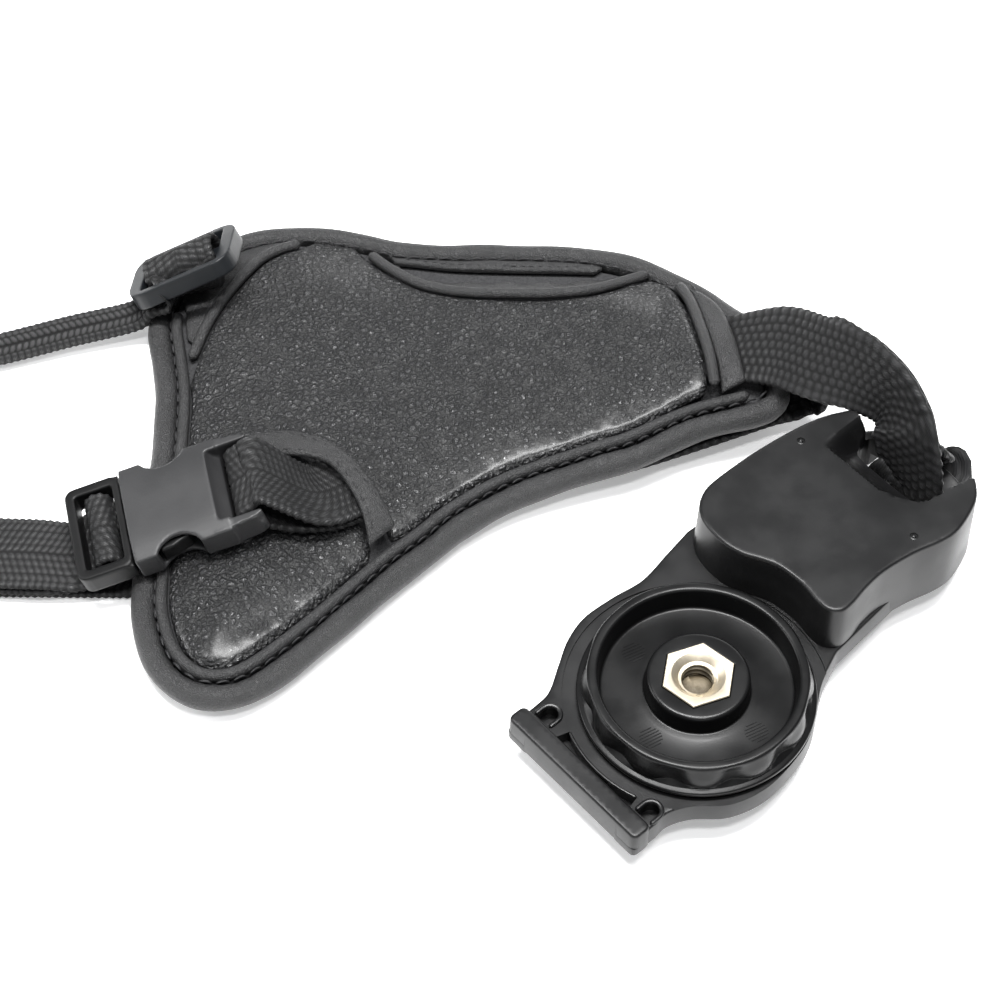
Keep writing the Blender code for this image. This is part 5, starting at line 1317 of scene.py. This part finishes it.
def wheel_radius(k, r, z, a):
    if r > 17.9 and z > FLANGE_Z1 + 0.4 and z < RIM_Z1 - 0.05:
        share = np.interp(z, [FLANGE_Z1 + 0.4, 11.8, 13.2, 14.4, 15.2, RIM_Z1], [0.75, 1.0, 0.95, 0.6, 0.2, 0.0])
        lobe = np.cos(12 * a) - 0.12 * np.cos(24 * a)
        return r + share * (0.62 * lobe - 0.05)
    if abs(r - 6.0) < 0.13 and z > HEX_Z0:
        return hexagon(a, HEX_AF + 0.2) + (r - 6.0)
    return np.full(len(a), float(r))


wheel_v, wheel_f = turned(profile, 360, wheel_radius)
marks = []
for r, angle in ((12.5, 145.3), (12.5, -130.0), (12.6, -42.2)):
    cx, cy = r * math.cos(math.radians(angle)), r * math.sin(math.radians(angle))
    for k in range(-3, 4):
        off = k * 0.55
        half = math.sqrt(max(0.1, 1.95**2 - off**2))
        lean = math.radians(28)
        dx, dy = math.cos(lean), math.sin(lean)
        line = [(cx + s * dx - off * dy, cy + s * dy + off * dx, DISH_Z - 0.08) for s in np.linspace(-half, half, 7)]
        marks.append(pipe(line, 0.16, sides=6))
wheel_v, wheel_f = join([(wheel_v, wheel_f)] + marks)
make("thumbwheel_body", wheel_v, wheel_f, WHEEL_PLASTIC, ("thumbwheel",), body="wheel", matrix=WHEEL, sharp=30.0)


# ================================================================ the screw: hexagon, threaded socket and camera stud
PITCH = 1.27
SEG = 180


def thread_row(z, a, crest, root):
    phase = np.mod(z / PITCH - a / (2 * np.pi), 1.0)
    tooth = np.clip(1.18 - np.abs(phase - 0.5) * 2.75, 0, 1)
    return root + (crest - root) * tooth


rows = []
a = 2 * np.pi * np.arange(SEG) / SEG
rows.append(("hex", HEX_AF, HEX_Z0))
rows += [("hex", HEX_AF, HEX_Z1 - 0.14), ("hex", HEX_AF - 0.24, HEX_Z1)]
rows += [("round", 4.55, HEX_Z1), ("round", 4.4, HEX_Z1 - 0.05), ("round", 3.3, HEX_Z1 - 1.05)]
for z in np.linspace(HEX_Z1 - 1.1, 11.55, 44):
    rows.append(("inner", None, z))
rows += [("round", 2.6, 11.35), ("round", 1.2, 11.25), ("round", 0.02, 11.2)]
ring_rows = []
for kind, size, z in rows:
    if kind == "hex":
        rr = hexagon(a, size)
    elif kind == "round":
        rr = np.full(SEG, size)
    else:
        rr = thread_row(z, a, THREAD_R + 0.02, 2.62)
    ring_rows.append(np.stack([rr * np.cos(a), rr * np.sin(a), np.full(SEG, z)], axis=1))
stud_rows = []
for z in np.linspace(0.0, 7.6, 74):
    rr = thread_row(z, a, THREAD_R, 2.6)
    rr = np.minimum(rr, 2.45 + 1.0 * z) if z < 0.9 else rr
    stud_rows.append(np.stack([rr * np.cos(a), rr * np.sin(a), np.full(SEG, z)], axis=1))
neck = [np.stack([r * np.cos(a), r * np.sin(a), np.full(SEG, z)], axis=1) for r, z in ((3.1, 7.7), (3.1, HEX_Z0))]
stud_tip = np.stack([0.02 * np.cos(a), 0.02 * np.sin(a), np.full(SEG, 0.0)], axis=1)
all_rows = [stud_tip] + stud_rows + neck + ring_rows
verts = np.vstack(all_rows)
faces = []
for i in range(len(all_rows) - 1):
    for k in range(SEG):
        m = (k + 1) % SEG
        faces.append([i * SEG + k, i * SEG + m, (i + 1) * SEG + m, (i + 1) * SEG + k])
faces.append([k for k in range(SEG)])
faces.append([(len(all_rows) - 1) * SEG + k for k in reversed(range(SEG))])
make("socket_screw_body", verts, faces, PLATED, ("tripod_socket_screw",), body="wheel", matrix=WHEEL, sharp=30.0)

# the spring clip that keeps the wheel on the plate: its CAD shape is right, so it only gets its metal
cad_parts["retaining_clip"].data.materials.clear()
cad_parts["retaining_clip"].data.materials.append(STEEL)

# ================================================================ floor
floor_mesh = bpy.data.meshes.new("floor")
floor_mesh.from_pydata([(-3, -3, -0.0002), (3, -3, -0.0002), (3, 3, -0.0002), (-3, 3, -0.0002)], [], [(0, 1, 2, 3)])
floor = bpy.data.objects.new("floor", floor_mesh)
scene.collection.objects.link(floor)
paper = Graph("paper", (0.93, 0.93, 0.93), 0.75, Specular_IOR_Level=0.2, Emission_Color=(1.0, 1.0, 1.0, 1.0), Emission_Strength=0.30)
floor_mesh.materials.append(paper.mat)
